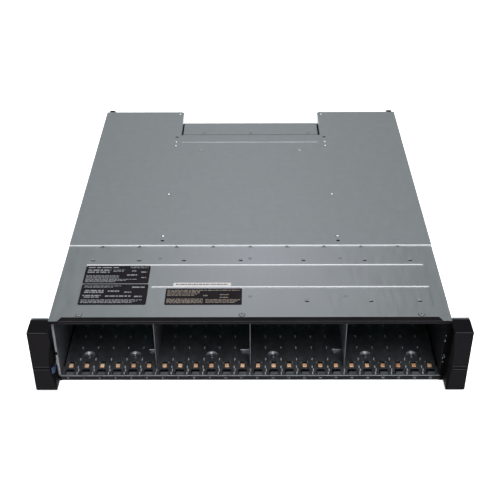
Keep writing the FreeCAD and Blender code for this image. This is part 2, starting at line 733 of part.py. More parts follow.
def add_screw_recesses(body):
    """Round recesses for the cage screws, and square ones beside the dividers, pressed below the floor."""
    bosses = new_sketch(body, "XY", d.cage_floor_top - d.cage_sheet)
    dishes = new_sketch(body, "XY", d.cage_floor_top)
    pockets = new_sketch(body, "XY", d.cage_floor_top)
    for bay in DISH_BAYS:
        centre = (bay_line(bay), d.dish_y)
        add_centred_box(bosses, centre, d.dish_radius * 2, d.dish_radius * 2)
        add_circle(dishes, centre, d.dish_radius)
    for bay in DIVIDER_BAYS:
        right = bay_line(bay) - d.cage_sheet / 2
        left = right - d.pocket_width
        front = d.pocket_rear - d.pocket_length
        add_box(bosses, (left, front), (right, d.pocket_rear))
        low = (left + d.cage_sheet, front + d.cage_sheet)
        add_box(pockets, low, (right - d.cage_sheet, d.pocket_rear - d.cage_sheet))
    pad(body, bosses, d.dish_depth, way=-1)
    pocket(body, dishes, d.dish_depth, way=-1, slope=-d.dish_slope)
    pocket(body, pockets, d.dish_depth, way=-1)


def make_cage_ceiling():
    """Cage ceiling with the upper guide lances."""
    body = new_body("drive_cage_ceiling")
    ceiling = new_sketch(body, "XY", cage_ceiling_under)
    add_box(ceiling, (-cage_outside, nose_y + d.trim_wall), (cage_outside, d.cage_rear))
    pad(body, ceiling, d.cage_sheet)
    lance = add_lance(body, d.bay_pitch - cage_half, d.lance_row, cage_ceiling_under, way=-1)
    repeat(body, [lance], *GROUPED_LINES)


def make_cage_wall(side):
    """Side wall of the cage with its front edge turned out to the side panel, and a notch in that flange."""
    body = new_body(f"{side_name(side)}_cage_wall")
    mouth_y = nose_y + d.lower_lip_back + d.sheet
    flange_rear = mouth_y + d.cage_sheet
    flange_edge = half_width - d.sheet - d.module_clearance
    wall = new_sketch(body, "XY", d.cage_floor_top)
    corners = [
        (side * cage_half, d.cage_rear),
        (side * cage_half, mouth_y),
        (side * flange_edge, mouth_y),
        (side * flange_edge, flange_rear),
        (side * cage_outside, flange_rear),
        (side * cage_outside, d.cage_rear),
    ]
    add_outline(wall, corners)
    pad(body, wall, cage_ceiling_under - d.cage_floor_top)
    notch = new_sketch(body, "XZ", mouth_y)
    left, right = sided(side, cage_half, flange_edge)
    add_box(notch, (left, d.mouth_notch_foot), (right, d.mouth_notch_foot + d.mouth_notch_height))
    pocket(body, notch, d.cage_sheet, way=1)


def make_divider(label, bay):
    """Upright sheet between two groups of bays."""
    body = new_body(label)
    sheet = new_sketch(body, "YZ", bay_line(bay) - d.cage_sheet / 2)
    add_box(sheet, (d.divider_front, d.cage_floor_top), (d.cage_rear, cage_ceiling_under))
    pad(body, sheet, d.cage_sheet)


def make_contact_springs():
    """Copper grounding springs, one in each bay, arched off the cage floor."""
    body = new_body("bay_contact_springs")
    middle = -cage_half + d.bay_pitch / 2
    rear = d.contact_front + d.contact_length
    arch = new_sketch(body, "YZ", middle - d.contact_width / 2)
    corners = [
        (d.contact_front, d.cage_floor_top),
        (rear, d.cage_floor_top),
        (rear, d.cage_floor_top + d.contact_rise),
    ]
    bow = (d.contact_front + d.contact_bow_back, d.cage_floor_top + d.contact_bow_rise)
    add_outline(arch, corners, {2: bow})
    repeat(body, [pad(body, arch, d.contact_width)], EVERY_BAY)


def make_trim_strip():
    """Black strip clipped over the front edge of the front cover."""
    body = new_body("front_trim_strip")
    top = new_sketch(body, "XY", front_cover_top)
    front_half = half_width - d.trim_end_gap
    rear_half = front_half - d.trim_corner
    corners = [
        (-front_half, nose_y - d.trim_wall),
        (front_half, nose_y - d.trim_wall),
        (front_half, nose_y),
        (rear_half, nose_y + d.trim_length),
        (-rear_half, nose_y + d.trim_length),
        (-front_half, nose_y),
    ]
    add_outline(top, corners)
    pad(body, top, d.trim_wall)
    leaf = new_sketch(body, "XY", front_cover_top)
    add_box(leaf, (-front_half, nose_y - d.trim_wall), (front_half, nose_y))
    pad(body, leaf, d.trim_drop - d.trim_wall, way=-1)


def make_number_strip():
    """Black strip on the lower front lip, where the bay numbers are."""
    body = new_body("bay_number_strip")
    lip_y = nose_y + d.lower_lip_back
    strip = new_sketch(body, "XZ", lip_y)
    add_box(strip, (-cage_half, d.sheet), (cage_half, d.sheet + d.number_strip_height))
    pad(body, strip, d.number_strip_wall, way=-1)


# The midplane and the walls of the rear bays.

def make_midplane():
    """Circuit board across the enclosure behind the drives, with an air hole above each pair of bays."""
    body = new_body("midplane_board")
    board = new_sketch(body, "XZ", d.cage_rear)
    add_box(board, (-cage_outside, d.sheet), (cage_outside, front_cover_under - d.board_clearance))
    pad(body, board, d.board_thickness)
    middle_z = (d.cage_floor_top + cage_ceiling_under) / 2
    vents = new_sketch(body, "XZ", d.cage_rear)
    vent_z = middle_z + d.drive_socket_height / 2 + d.vent_gap + d.vent_height / 2
    add_centred_box(vents, (d.bay_pitch - cage_half, vent_z), d.vent_width, d.vent_height)
    repeat(body, [pocket(body, vents, d.board_thickness, way=1)], EVERY_PAIR)


def make_drive_connectors():
    """Upright connectors on the front of the midplane, one for each bay."""
    body = new_body("drive_connectors")
    middle = (-cage_half + d.bay_pitch / 2, (d.cage_floor_top + cage_ceiling_under) / 2)
    block = new_sketch(body, "XZ", d.cage_rear)
    add_centred_box(block, middle, d.drive_socket_width, d.drive_socket_height)
    blocks = pad(body, block, d.drive_socket_depth, way=-1)
    mouth = new_sketch(body, "XZ", d.cage_rear - d.drive_socket_depth)
    wall = d.drive_socket_wall * 2
    add_centred_box(mouth, middle, d.drive_socket_width - wall, d.drive_socket_height - wall)
    mouths = pocket(body, mouth, d.drive_socket_depth - wall, way=1)
    repeat(body, [blocks, mouths], EVERY_BAY)


def make_module_wall(side):
    """Wall between the controller bay and a power supply bay."""
    body = new_body(f"{side_name(side)}_module_wall")
    left, _ = sided(side, wall_inside, wall_outside)
    wall = new_sketch(body, "YZ", left)
    add_box(wall, (cover_lap_end, d.sheet), (d.body_depth, rear_cover_under))
    pad(body, wall, d.sheet)


# A controller's height follows from the bay: two controllers, the shelf and the gaps fill it.
controller_spaces = d.controller_head_gap + d.shelf_gap + d.module_clearance * 2
controller_height = (rear_cover_under - d.sheet * 2 - controller_spaces) / 2
lower_foot = d.sheet + d.module_clearance
shelf_foot = lower_foot + controller_height + d.shelf_gap
upper_foot = shelf_foot + d.sheet + d.module_clearance
supply_inner = wall_outside + d.module_gap
supply_outer = half_width - d.sheet - d.module_gap
supply_middle = (supply_inner + supply_outer) / 2
supply_foot = d.sheet + d.module_clearance
supply_top = rear_cover_under - d.supply_head_gap
supply_face = d.body_depth - d.supply_setback
controller_half = wall_inside - d.controller_gap
controller_face = d.body_depth - d.controller_setback
card_offset = d.case_sheet + d.card_lift
tongue_tip = board_rear + d.socket_depth - d.tongue_entry
MODULES = (
    (-1 * supply_middle, supply_foot),
    (supply_middle, supply_foot),
    (size(0), lower_foot),
    (size(0), upper_foot),
)


def make_controller_shelf():
    """Shelf between the two controllers."""
    body = new_body("controller_shelf")
    shelf = new_sketch(body, "XY", shelf_foot)
    add_box(shelf, (-wall_inside, cover_lap_end), (wall_inside, controller_face))
    pad(body, shelf, d.sheet)


def make_module_connectors():
    """Connectors on the rear of the midplane, one for each rear module."""
    body = new_body("module_connectors")
    blocks = new_sketch(body, "XZ", board_rear)
    for middle_x, foot in MODULES:
        centre = (middle_x, foot + card_offset + d.card_thickness / 2)
        add_centred_box(blocks, centre, d.socket_width, d.socket_height)
    pad(body, blocks, d.socket_depth)
    mouths = new_sketch(body, "XZ", board_rear + d.socket_depth)
    play = d.tongue_clearance * 2
    for middle_x, foot in MODULES:
        centre = (middle_x, foot + card_offset + d.card_thickness / 2)
        add_centred_box(mouths, centre, d.tongue_width + play, d.card_thickness + play)
    pocket(body, mouths, d.tongue_entry + d.tongue_clearance, way=-1)


# Pieces that power supplies and controllers have in common.

def make_case(label, low, high, face):
    """Sheet-metal box, open at the rear, with a slot in front for the card edge."""
    body = new_body(label)
    rear = face - d.sheet
    outside = new_sketch(body, "XZ", module_front)
    add_box(outside, low, high)
    pad(body, outside, rear - module_front)
    inside = new_sketch(body, "XZ", rear)
    inner_low = (low[0] + d.case_sheet, low[1] + d.case_sheet)
    inner_high = (high[0] - d.case_sheet, high[1] - d.case_sheet)
    add_box(inside, inner_low, inner_high)
    pocket(body, inside, rear - module_front - d.case_sheet, way=-1)
    slot = new_sketch(body, "XZ", module_front)
    play = d.tongue_clearance * 2
    centre = ((low[0] + high[0]) / 2, low[1] + card_offset + d.card_thickness / 2)
    add_centred_box(slot, centre, d.tongue_width + play, d.card_thickness + play)
    pocket(body, slot, d.case_sheet, way=1)


def make_card(label, low, high, rear, blocks):
    """Circuit board with its card edge, and the tall parts on it as (place across, width, length, height)."""
    body = new_body(label)
    foot = low[1] + card_offset
    middle = (low[0] + high[0]) / 2
    margin = d.case_sheet + d.tongue_clearance
    front = module_front + margin
    board = new_sketch(body, "XY", foot)
    corners = [
        (middle - d.tongue_width / 2, tongue_tip),
        (middle + d.tongue_width / 2, tongue_tip),
        (middle + d.tongue_width / 2, front),
        (high[0] - margin, front),
        (high[0] - margin, rear),
        (low[0] + margin, rear),
        (low[0] + margin, front),
        (middle - d.tongue_width / 2, front),
    ]
    add_outline(board, corners)
    pad(body, board, d.card_thickness)
    for across, width, length, height in blocks:
        block = new_sketch(body, "XY", foot + d.card_thickness)
        add_centred_box(block, (middle + across, front + d.block_back), width, length)
        pad(body, block, height)


def add_bow(sketch, heel, length, peak, turn, tip_rise=None):
    """Bowed grip with a round heel. The heel is (out, along): out leads away from the faceplate, and along
    runs with the grip. The turn function puts such a place into the axes of the sketch."""
    out, start = heel
    tip = start + length
    middle = start + length / 2
    near_side, far_side = out - d.lever_heel, out + d.lever_heel
    corners = [(near_side, start), (far_side, start), (far_side, tip)]
    if tip_rise is not None:
        ledge = d.body_depth + d.lever_gap
        corners = corners[:2] + [(far_side, tip + tip_rise), (ledge, tip + tip_rise), (ledge, tip)]
    inner_arc = len(corners) + 1
    corners += [(near_side, tip), (near_side, tip - d.lever_bar), (near_side, start + d.lever_bar)]
    bows = {
        0: (out, start - d.lever_heel),
        1: (peak, middle),
        inner_arc: (peak - d.lever_bar, middle),
    }
    turned = [turn(place) for place in corners]
    turned_bows = {number: turn(place) for number, place in bows.items()}
    add_outline(sketch, turned, turned_bows)


# The power supplies.

def supply_span(side):
    """Low and high corners of a supply across the enclosure."""
    left, right = sided(side, supply_inner, supply_outer)
    return (left, supply_foot), (right, supply_top)


lever_out = supply_face + d.lever_gap + d.lever_heel
lever_low = supply_foot + d.lever_foot + d.lever_heel
lever_outer = supply_outer - d.lug_gap - d.lug_thickness
lever_inner = lever_outer - d.lever_width
latch_foot = supply_top - d.latch_drop - d.latch_height
latch_outer = lever_inner - d.lug_gap - d.lug_thickness - d.latch_travel
latch_inner = latch_outer - d.latch_width
fan_x = supply_outer - d.fan_outer_inset
fan_z = supply_top - d.fan_top_inset
inlet_x = supply_inner + d.inlet_inset
inlet_z = supply_foot + d.inlet_lift
rocker_z = supply_top - d.rocker_drop


def make_supply_faceplate(side):
    """Rear plate with the honeycomb, holes for inlet and rocker, and the lugs and pin of the cam handle."""
    body = new_body(f"{side_name(side)}_supply_faceplate")
    low, high = supply_span(side)
    back = supply_face - d.sheet
    plate = new_sketch(body, "XZ", back)
    add_box(plate, low, high)
    pad(body, plate, d.sheet)
    holes = new_sketch(body, "XZ", back)
    add_centred_box(holes, (side * inlet_x, inlet_z), d.inlet_width, d.inlet_height)
    play = d.rocker_gap * 2
    add_centred_box(holes, (side * inlet_x, rocker_z), d.rocker_width + play, d.rocker_height + play)
    pocket(body, holes, d.sheet, way=1)
    spans = (
        (lever_inner - d.lug_gap - d.lug_thickness, lever_inner - d.lug_gap),
        (lever_outer + d.lug_gap, lever_outer + d.lug_gap + d.lug_thickness),
    )
    for span in spans:
        left, _ = sided(side, *span)
        lug = new_sketch(body, "YZ", left)
        corners = [
            (supply_face, lever_low - d.lever_heel),
            (lever_out, lever_low - d.lever_heel),
            (lever_out, lever_low + d.lever_heel),
            (supply_face, lever_low + d.lever_heel),
        ]
        add_outline(lug, corners, {1: (lever_out + d.lever_heel, lever_low)})
        pad(body, lug, d.lug_thickness)
    left, right = sided(side, spans[0][1], spans[1][0])
    pin = new_sketch(body, "YZ", left)
    add_circle(pin, (lever_out, lever_low), d.pivot_radius)
    pad(body, pin, right - left)
    add_honeycomb(body, side * fan_x, back)


def add_honeycomb(body, middle_x, back):
    """Honeycomb of hexagonal air holes in front of the fan: two sets of columns, half a pitch apart."""
    column_pitch = (d.hex_flat + d.hex_web) * math.sqrt(3)
    hole_pitch = d.hex_flat + d.hex_web
    corner = d.hex_flat / math.sqrt(3)
    # The first set stands on the columns, and the second between them.
    for columns, rows in ((HEX_COLUMNS, HEX_ROWS), (HEX_COLUMNS - 1, HEX_ROWS - 1)):
        first = middle_x - column_pitch * (columns - 1) / 2
        lowest = fan_z - hole_pitch * (rows - 1) / 2
        hexagon = new_sketch(body, "XZ", back)
        corners = [
            (first - corner, lowest),
            (first - corner / 2, lowest - d.hex_flat / 2),
            (first + corner / 2, lowest - d.hex_flat / 2),
            (first + corner, lowest),
            (first + corner / 2, lowest + d.hex_flat / 2),
            (first - corner / 2, lowest + d.hex_flat / 2),
        ]
        add_outline(hexagon, corners)
        first_hole = pocket(body, hexagon, d.sheet, way=1)
        repeat(body, [first_hole], ("X", column_pitch, columns), ("Z", hole_pitch, rows))


def make_inlet(side):
    """Mains inlet: a socket with two slanted corners, through the faceplate."""
    body = new_body(f"{side_name(side)}_supply_inlet")
    play = d.tongue_clearance
    front = supply_face - d.inlet_depth
    shell = new_sketch(body, "XZ", front)
    add_centred_box(shell, (side * inlet_x, inlet_z), d.inlet_width - play, d.inlet_height - play)
    pad(body, shell, d.inlet_depth + d.inlet_rise)
    mouth = new_sketch(body, "XZ", supply_face + d.inlet_rise)
    half_wide = d.inlet_width / 2 - d.inlet_wall
    half_tall = d.inlet_height / 2 - d.inlet_wall
    centre_x = side * inlet_x
    corners = [
        (centre_x - half_wide, inlet_z - half_tall),
        (centre_x + half_wide, inlet_z - half_tall),
        (centre_x + half_wide, inlet_z + half_tall - d.inlet_corner),
        (centre_x + half_wide - d.inlet_corner, inlet_z + half_tall),
        (centre_x - half_wide + d.inlet_corner, inlet_z + half_tall),
        (centre_x - half_wide, inlet_z + half_tall - d.inlet_corner),
    ]
    add_outline(mouth, corners)
    pocket(body, mouth, d.inlet_depth + d.inlet_rise - d.inlet_wall, way=-1)


def make_rocker(side):
    """Rocker switch, drawn level and set to its upper stop."""
    body = new_body(f"{side_name(side)}_supply_rocker", side * inlet_x, supply_face, rocker_z)
    tilt = body.Placement
    tilt.Rotation = FreeCAD.Rotation(ALONG_X, d.rocker_tilt.value)
    body.Placement = tilt
    body.setExpression("Placement.Rotation.Angle", d.rocker_tilt.formula)
    rocker = new_sketch(body, "YZ", -d.rocker_width / 2)
    half_tall = d.rocker_height / 2
    corners = [
        (d.rocker_rise, -half_tall),
        (d.rocker_rise / 3, size(0)),
        (d.rocker_rise, half_tall),
        (-d.rocker_depth / 2, half_tall - d.rocker_gap),
        (-d.rocker_depth, size(0)),
        (-d.rocker_depth / 2, d.rocker_gap - half_tall),
    ]
    add_outline(rocker, corners)
    pad(body, rocker, d.rocker_width)


def make_fan_frame(side):
    """Square fan frame with a round bore, struts, motor plate and shaft."""
    body = new_body(f"{side_name(side)}_supply_fan_frame", side * fan_x, supply_face - d.sheet, fan_z)
    frame = new_sketch(body, "XZ")
    centre = (size(0), size(0))
    bore = d.fan_size / 2 - d.fan_wall
    add_centred_box(frame, centre, d.fan_size, d.fan_size)
    add_circle(frame, centre, bore)
    pad(body, frame, d.fan_depth, way=-1)
    struts = new_sketch(body, "XZ", -d.fan_depth)
    half_strut = d.fan_strut / 2
    reach = bore + d.fan_wall / 2
    corners = [
        (-reach, -half_strut), (-half_strut, -half_strut), (-half_strut, -reach),
        (half_strut, -reach), (half_strut, -half_strut), (reach, -half_strut),
        (reach, half_strut), (half_strut, half_strut), (half_strut, reach),
        (-half_strut, reach), (-half_strut, half_strut), (-reach, half_strut),
    ]
    add_outline(struts, corners)
    pad(body, struts, d.fan_plate)
    plate = new_sketch(body, "XZ", -d.fan_depth)
    add_flat_sided(plate, centre, d.fan_hub_radius, HUB_SIDES)
    pad(body, plate, d.fan_plate)
    shaft = new_sketch(body, "XZ", -d.fan_depth)
    add_circle(shaft, centre, d.fan_shaft_radius)
    pad(body, shaft, d.fan_plate + d.fan_rotor_depth)


def make_fan_rotor(side):
    """Fan rotor: a flat-sided hub on the shaft with slanted blades."""
    body = new_body(f"{side_name(side)}_supply_fan_rotor", side * fan_x, supply_face - d.sheet, fan_z)
    rear = d.fan_plate + d.slide_gap - d.fan_depth
    centre = (size(0), size(0))
    hub = new_sketch(body, "XZ", rear)
    add_flat_sided(hub, centre, d.fan_hub_radius, HUB_SIDES)
    pad(body, hub, d.fan_rotor_depth)
    bore = new_sketch(body, "XZ", rear)
    add_circle(bore, centre, d.fan_shaft_radius + d.fan_shaft_play)
    pocket(body, bore, d.fan_rotor_depth, way=1)
    middle = rear + d.fan_rotor_depth / 2
    root = d.fan_hub_radius - d.blade_root
    tip = d.fan_size / 2 - d.fan_wall - d.fan_tip_gap * 2
    section = new_sketch(body, "YZ", root)
    half_blade = d.blade_thickness / 2
    corners = [
        (middle - d.blade_rise, -d.blade_sweep - half_blade),
        (middle - d.blade_rise, half_blade - d.blade_sweep),
        (middle + d.blade_rise, d.blade_sweep + half_blade),
        (middle + d.blade_rise, d.blade_sweep - half_blade),
    ]
    add_outline(section, corners)
    blade = pad(body, section, tip - root)
    doc.recompute()
    ring = body.newObject("PartDesign::PolarPattern", f"{body.Label}_blades")
    ring.Originals = [blade]
    ring.Axis = (origin_feature(body, "Y_Axis"), [""])
    ring.Angle = 360
    ring.Occurrences = BLADE_COUNT
    body.Tip = ring


def make_supply_handle(side):
    """Bowed cam handle, hinged on the pin at its heel."""
    body = new_body(f"{side_name(side)}_supply_handle")
    left, _ = sided(side, lever_inner, lever_outer)
    grip = new_sketch(body, "YZ", left)
    peak = d.body_depth + d.lever_reach
    length = supply_top - lever_low
    add_bow(grip, (lever_out, lever_low), length, peak, lambda place: place, d.lever_tip_rise)
    pad(body, grip, d.lever_width)
    hole = new_sketch(body, "YZ", left)
    add_circle(hole, (lever_out, lever_low), d.pivot_radius + d.pivot_play)
    pocket(body, hole, d.lever_width, way=1)


def make_supply_latch(side):
    """Thumb latch that is squeezed towards the handle, with a thumb ledge."""
    body = new_body(f"{side_name(side)}_supply_latch")
    left, _ = sided(side, latch_inner, latch_outer)
    foot_y = supply_face + d.slide_gap
    latch = new_sketch(body, "YZ", left)
    corners = [
        (foot_y, latch_foot),
        (foot_y + d.latch_rise / 2, latch_foot),
        (foot_y + d.latch_rise, latch_foot + d.latch_height / 2),
        (foot_y + d.latch_rise, latch_foot + d.latch_height),
        (foot_y, latch_foot + d.latch_height),
    ]
    add_outline(latch, corners)
    pad(body, latch, d.latch_width)


def make_supply(side):
    """One power supply."""
    name = side_name(side)
    low, high = supply_span(side)
    make_case(f"{name}_supply_case", low, high, supply_face)
    card_rear = supply_face - d.sheet - d.fan_depth - d.inlet_depth
    blocks = (
        (-d.block_line, d.transformer_width, d.transformer_length, d.transformer_height),
        (d.block_line, d.sink_width, d.sink_length, d.sink_height),
    )
    make_card(f"{name}_supply_circuit", low, high, card_rear, blocks)
    make_supply_faceplate(side)
    make_inlet(side)
    make_rocker(side)
    make_fan_frame(side)
    make_fan_rotor(side)
    make_supply_handle(side)
    make_supply_latch(side)


# The controllers.

def make_controller(name, foot):
    """One controller."""
    low = (-controller_half, foot)
    high = (controller_half, foot + controller_height)
    middle_z = foot + controller_height / 2
    make_case(f"{name}_controller_case", low, high, controller_face)
    card_rear = controller_face - d.sheet - d.port_depth
    blocks = (
        (-d.block_line, d.cooler_width, d.cooler_length, d.cooler_height),
        (d.block_line, d.battery_width, d.battery_length, d.battery_height),
    )
    make_card(f"{name}_controller_circuit", low, high, card_rear, blocks)
    ports = [low[0] + d.port_inset + d.port_pitch * number for number in range(2)]
    make_controller_faceplate(name, low, high, ports, middle_z)
    make_controller_ports(name, ports, middle_z)
    make_controller_lever(name, middle_z)


arm_x = controller_half - d.arm_inset
arm_out = controller_face + d.lever_gap + d.lever_heel


def make_controller_faceplate(name, low, high, ports, middle_z):
    """Rear plate of a controller with the port holes, lugs and pivot pin."""
    body = new_body(f"{name}_controller_faceplate")
    back = controller_face - d.sheet
    plate = new_sketch(body, "XZ", back)
    add_box(plate, low, high)
    pad(body, plate, d.sheet)
    holes = new_sketch(body, "XZ", back)
    for port_x in ports:
        add_centred_box(holes, (port_x, middle_z), d.port_width, d.port_height)
    pocket(body, holes, d.sheet, way=1)
    half_arm = d.arm_height / 2
    levels = (middle_z - half_arm - d.lug_gap - d.lug_thickness, middle_z + half_arm + d.lug_gap)
    for level in levels:
        lug = new_sketch(body, "XY", level)
        corners = [
            (arm_x + d.lever_heel, controller_face),
            (arm_x + d.lever_heel, arm_out),
            (arm_x - d.lever_heel, arm_out),
            (arm_x - d.lever_heel, controller_face),
        ]
        add_outline(lug, corners, {1: (arm_x, arm_out + d.lever_heel)})
        pad(body, lug, d.lug_thickness)
    pin = new_sketch(body, "XY", levels[0] + d.lug_thickness)
    add_circle(pin, (arm_x, arm_out), d.pivot_radius)
    pad(body, pin, levels[1] - levels[0] - d.lug_thickness)


def make_controller_ports(name, ports, middle_z):
    """Port cages of a controller, open to the rear."""
    body = new_body(f"{name}_controller_ports")
    play = d.tongue_clearance
    rear = controller_face + d.port_rise
    cages = new_sketch(body, "XZ", rear)
    for port_x in ports:
        add_centred_box(cages, (port_x, middle_z), d.port_width - play, d.port_height - play)
    pad(body, cages, d.port_depth, way=-1)
    mouths = new_sketch(body, "XZ", rear)
    wall = d.port_wall * 2
    for port_x in ports:
        add_centred_box(mouths, (port_x, middle_z), d.port_width - wall, d.port_height - wall)
    pocket(body, mouths, d.port_depth - d.port_wall, way=-1)


def make_controller_lever(name, middle_z):
    """Bowed cam lever that lies level behind the faceplate, hinged at its right end."""
    body = new_body(f"{name}_controller_lever")
    half_arm = d.arm_height / 2
    arm = new_sketch(body, "XY", middle_z - half_arm)
    peak = controller_face + d.arm_reach
    add_bow(arm, (arm_out, size(0)), d.arm_length, peak, lambda place: (arm_x - place[1], place[0]))
    pad(body, arm, d.arm_height)
    hole = new_sketch(body, "XY", middle_z - half_arm)
    add_circle(hole, (arm_x, arm_out), d.pivot_radius + d.pivot_play)
    pocket(body, hole, d.arm_height, way=1)


# The ears.

groove_top = d.groove_foot + d.groove_height


def make_ear(side, width):
    """Hollow plastic ear that covers a rack flange, with a level groove and a bevel on its inner edge."""
    body = new_body(f"{side_name(side)}_ear_cover")
    outer = ear_edge
    inner = outer - width
    step = half_width + d.ear_gap
    front = -d.ear_reach
    plan = new_sketch(body, "XY", d.ear_foot)
    corners = [
        (side * outer, -d.ear_gap),
        (side * outer, front),
        (side * inner, front),
        (side * inner, nose_y - d.ear_gap),
        (side * step, nose_y - d.ear_gap),
        (side * step, -d.ear_gap),
    ]
    add_outline(plan, corners)
    pad(body, plan, ear_top - d.ear_foot)
    round_edges(body, d.ear_radius, ALONG_Z, lambda at: near(abs(at.x), outer) and near(at.y, front))
    round_edges(body, d.ear_radius, ALONG_X, lambda at: near(at.y, front))
    levels = (
        (d.ear_foot, d.ear_bevel_foot),
        (groove_top, d.ear_bevel),
        (ear_top, d.ear_bevel_top),
    )
    sections = []
    for level, bevel in levels:
        section = new_sketch(body, "XY", level)
        corners = [
            (side * (inner - d.ear_gap), front - d.ear_gap),
            (side * (inner + bevel), front - d.ear_gap),
            (side * (inner - d.ear_gap), front + bevel),
        ]
        add_outline(section, corners)
        sections.append(section)
    doc.recompute()
    bevel_cut = body.newObject("PartDesign::SubtractiveLoft", f"{body.Label}_bevel")
    bevel_cut.Profile = sections[0]
    bevel_cut.Sections = sections[1:]
    bevel_cut.Ruled = True
    doc.recompute()
    hollow = new_sketch(body, "XZ", -d.ear_gap)
    left, right = sided(side, step + d.ear_wall, outer - d.ear_wall)
    add_box(hollow, (left, d.ear_foot + d.ear_wall), (right, ear_top - d.ear_wall))
    pocket(body, hollow, d.ear_reach - d.ear_gap - d.ear_wall, way=-1)
    groove = new_sketch(body, "XZ", front)
    left, right = sided(side, inner - d.ear_gap, outer + d.ear_gap)
    add_box(groove, (left, d.groove_foot), (right, groove_top))
    pocket(body, groove, d.groove_depth, way=1)
    return body


# The button stands out of the bevel as it is at the button's middle.
button_share = (d.button_foot + d.button_height / 2 - d.ear_foot) / (groove_top - d.ear_foot)
button_bevel = d.ear_bevel_foot + (d.ear_bevel - d.ear_bevel_foot) * button_share
button_inner = ear_edge - d.left_ear_width + d.ear_gap
button_front = -d.ear_reach + button_bevel - d.ear_gap - d.button_width - d.button_rise


def make_left_ear():
    """Left ear with the open notch for the blue button."""
    body = make_ear(-1, d.left_ear_width)
    hole = new_sketch(body, "XZ", -d.ear_reach)
    low = (-(button_inner + d.button_width + d.button_gap), d.button_foot - d.button_gap)
    high = (d.left_ear_width - ear_edge + d.ear_gap, d.button_foot + d.button_height + d.button_gap)
    add_box(hole, low, high)
    pocket(body, hole, d.ear_reach - d.nose_reach, way=1)


def make_button():
    """Blue button in the bevel of the left ear, its face slanted like the bevel."""
    body = new_body("blue_release_button")
    outer_x = -(button_inner + d.button_width)
    inner_x = -button_inner
    rear = button_front + d.button_length
    plan = new_sketch(body, "XY", d.button_foot)
    corners = [
        (outer_x, button_front),
        (inner_x, button_front + d.button_width),
        (inner_x, rear),
        (outer_x, rear),
    ]
    add_outline(plan, corners)
    pad(body, plan, d.button_height)


def make_all():
    """Every piece of the enclosure."""
    make_chassis_base()
    make_rear_cover()
    make_front_cover()
    make_cover_screws()
    make_cover_rivets()
    make_cage_floor()
    make_cage_ceiling()
    for label, bay in zip(("left", "middle", "right"), DIVIDER_BAYS):
        make_divider(f"{label}_bay_divider", bay)
    make_contact_springs()
    make_trim_strip()
    make_number_strip()
    make_midplane()
    make_drive_connectors()
    make_module_connectors()
    make_controller_shelf()
    for side in (-1, 1):
        make_side_panel(side)
        make_rack_flange(side)
        make_cage_wall(side)
        make_module_wall(side)
        make_supply(side)
    make_controller("lower", lower_foot)
    make_controller("upper", upper_foot)
    make_left_ear()
    make_button()
    make_ear(1, d.right_ear_width)
    doc.recompute()


def write_all():
    """Check every object and write each piece to its own file."""
    for item in doc.Objects:
        if "Invalid" in item.State or "Error" in item.State:
            raise RuntimeError(f"{item.Label} failed: {item.State}")
    shapes = {node.Label: node.Shape for node in nodes}
    for label, shape in shapes.items():
        if shape.isNull() or not shape.isValid() or not shape.Solids:
            raise RuntimeError(f"{label} is not a valid solid")
    os.makedirs("parts", exist_ok=True)
    for label, shape in shapes.items():
        shape.exportStep(os.path.join("parts", f"{label}.step"))
    print(len(nodes), "pieces written")


make_all()
write_all()
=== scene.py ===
# %% [markdown]
# # A rack storage enclosure
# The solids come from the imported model, so this lesson is about looks: the camera and light of a product
# photo, the finishes of plated sheet, moulded plastic and copper, and the small pieces that are too fine
# for the solids. Each cell makes one thing and says why it was made that way.

# %% Load the frame
import json
import math

import bmesh
import bpy
from mathutils import Matrix, Vector


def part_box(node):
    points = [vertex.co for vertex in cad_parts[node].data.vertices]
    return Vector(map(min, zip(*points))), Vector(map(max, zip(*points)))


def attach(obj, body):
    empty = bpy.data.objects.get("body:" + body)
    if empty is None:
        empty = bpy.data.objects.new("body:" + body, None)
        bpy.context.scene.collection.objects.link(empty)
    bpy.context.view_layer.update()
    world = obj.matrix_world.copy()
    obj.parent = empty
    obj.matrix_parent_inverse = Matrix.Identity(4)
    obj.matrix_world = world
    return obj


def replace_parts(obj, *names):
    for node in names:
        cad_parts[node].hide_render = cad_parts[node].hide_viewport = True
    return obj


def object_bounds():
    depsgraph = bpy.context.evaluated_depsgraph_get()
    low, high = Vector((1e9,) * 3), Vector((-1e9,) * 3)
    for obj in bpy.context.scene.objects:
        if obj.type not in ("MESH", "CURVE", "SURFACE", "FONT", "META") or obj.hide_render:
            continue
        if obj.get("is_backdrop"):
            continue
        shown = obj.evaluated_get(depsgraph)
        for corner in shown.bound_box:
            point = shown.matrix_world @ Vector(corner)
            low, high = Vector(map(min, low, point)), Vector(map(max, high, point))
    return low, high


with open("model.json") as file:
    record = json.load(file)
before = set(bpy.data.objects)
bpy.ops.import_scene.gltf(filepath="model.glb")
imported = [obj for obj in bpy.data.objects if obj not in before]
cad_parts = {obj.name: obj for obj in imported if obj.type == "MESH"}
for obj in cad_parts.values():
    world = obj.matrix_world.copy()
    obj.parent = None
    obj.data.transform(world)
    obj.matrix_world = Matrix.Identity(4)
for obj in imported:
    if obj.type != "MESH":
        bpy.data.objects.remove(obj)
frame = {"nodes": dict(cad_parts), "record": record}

scene = bpy.context.scene
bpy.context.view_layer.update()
nodes = frame["nodes"]
slot_of = {part["node"]: part["material_slot"] for part in frame["record"]["subparts"]}

# %% [markdown]
# ## One way to say where things are
# On the drawing of a rack enclosure, depth is measured from the face of the rack flanges. The same habit
# keeps the numbers short here: millimetres across from the middle, back from the flange face and up from
# the table. The face is read from the frame, so that pieces stay in place if the solids change.

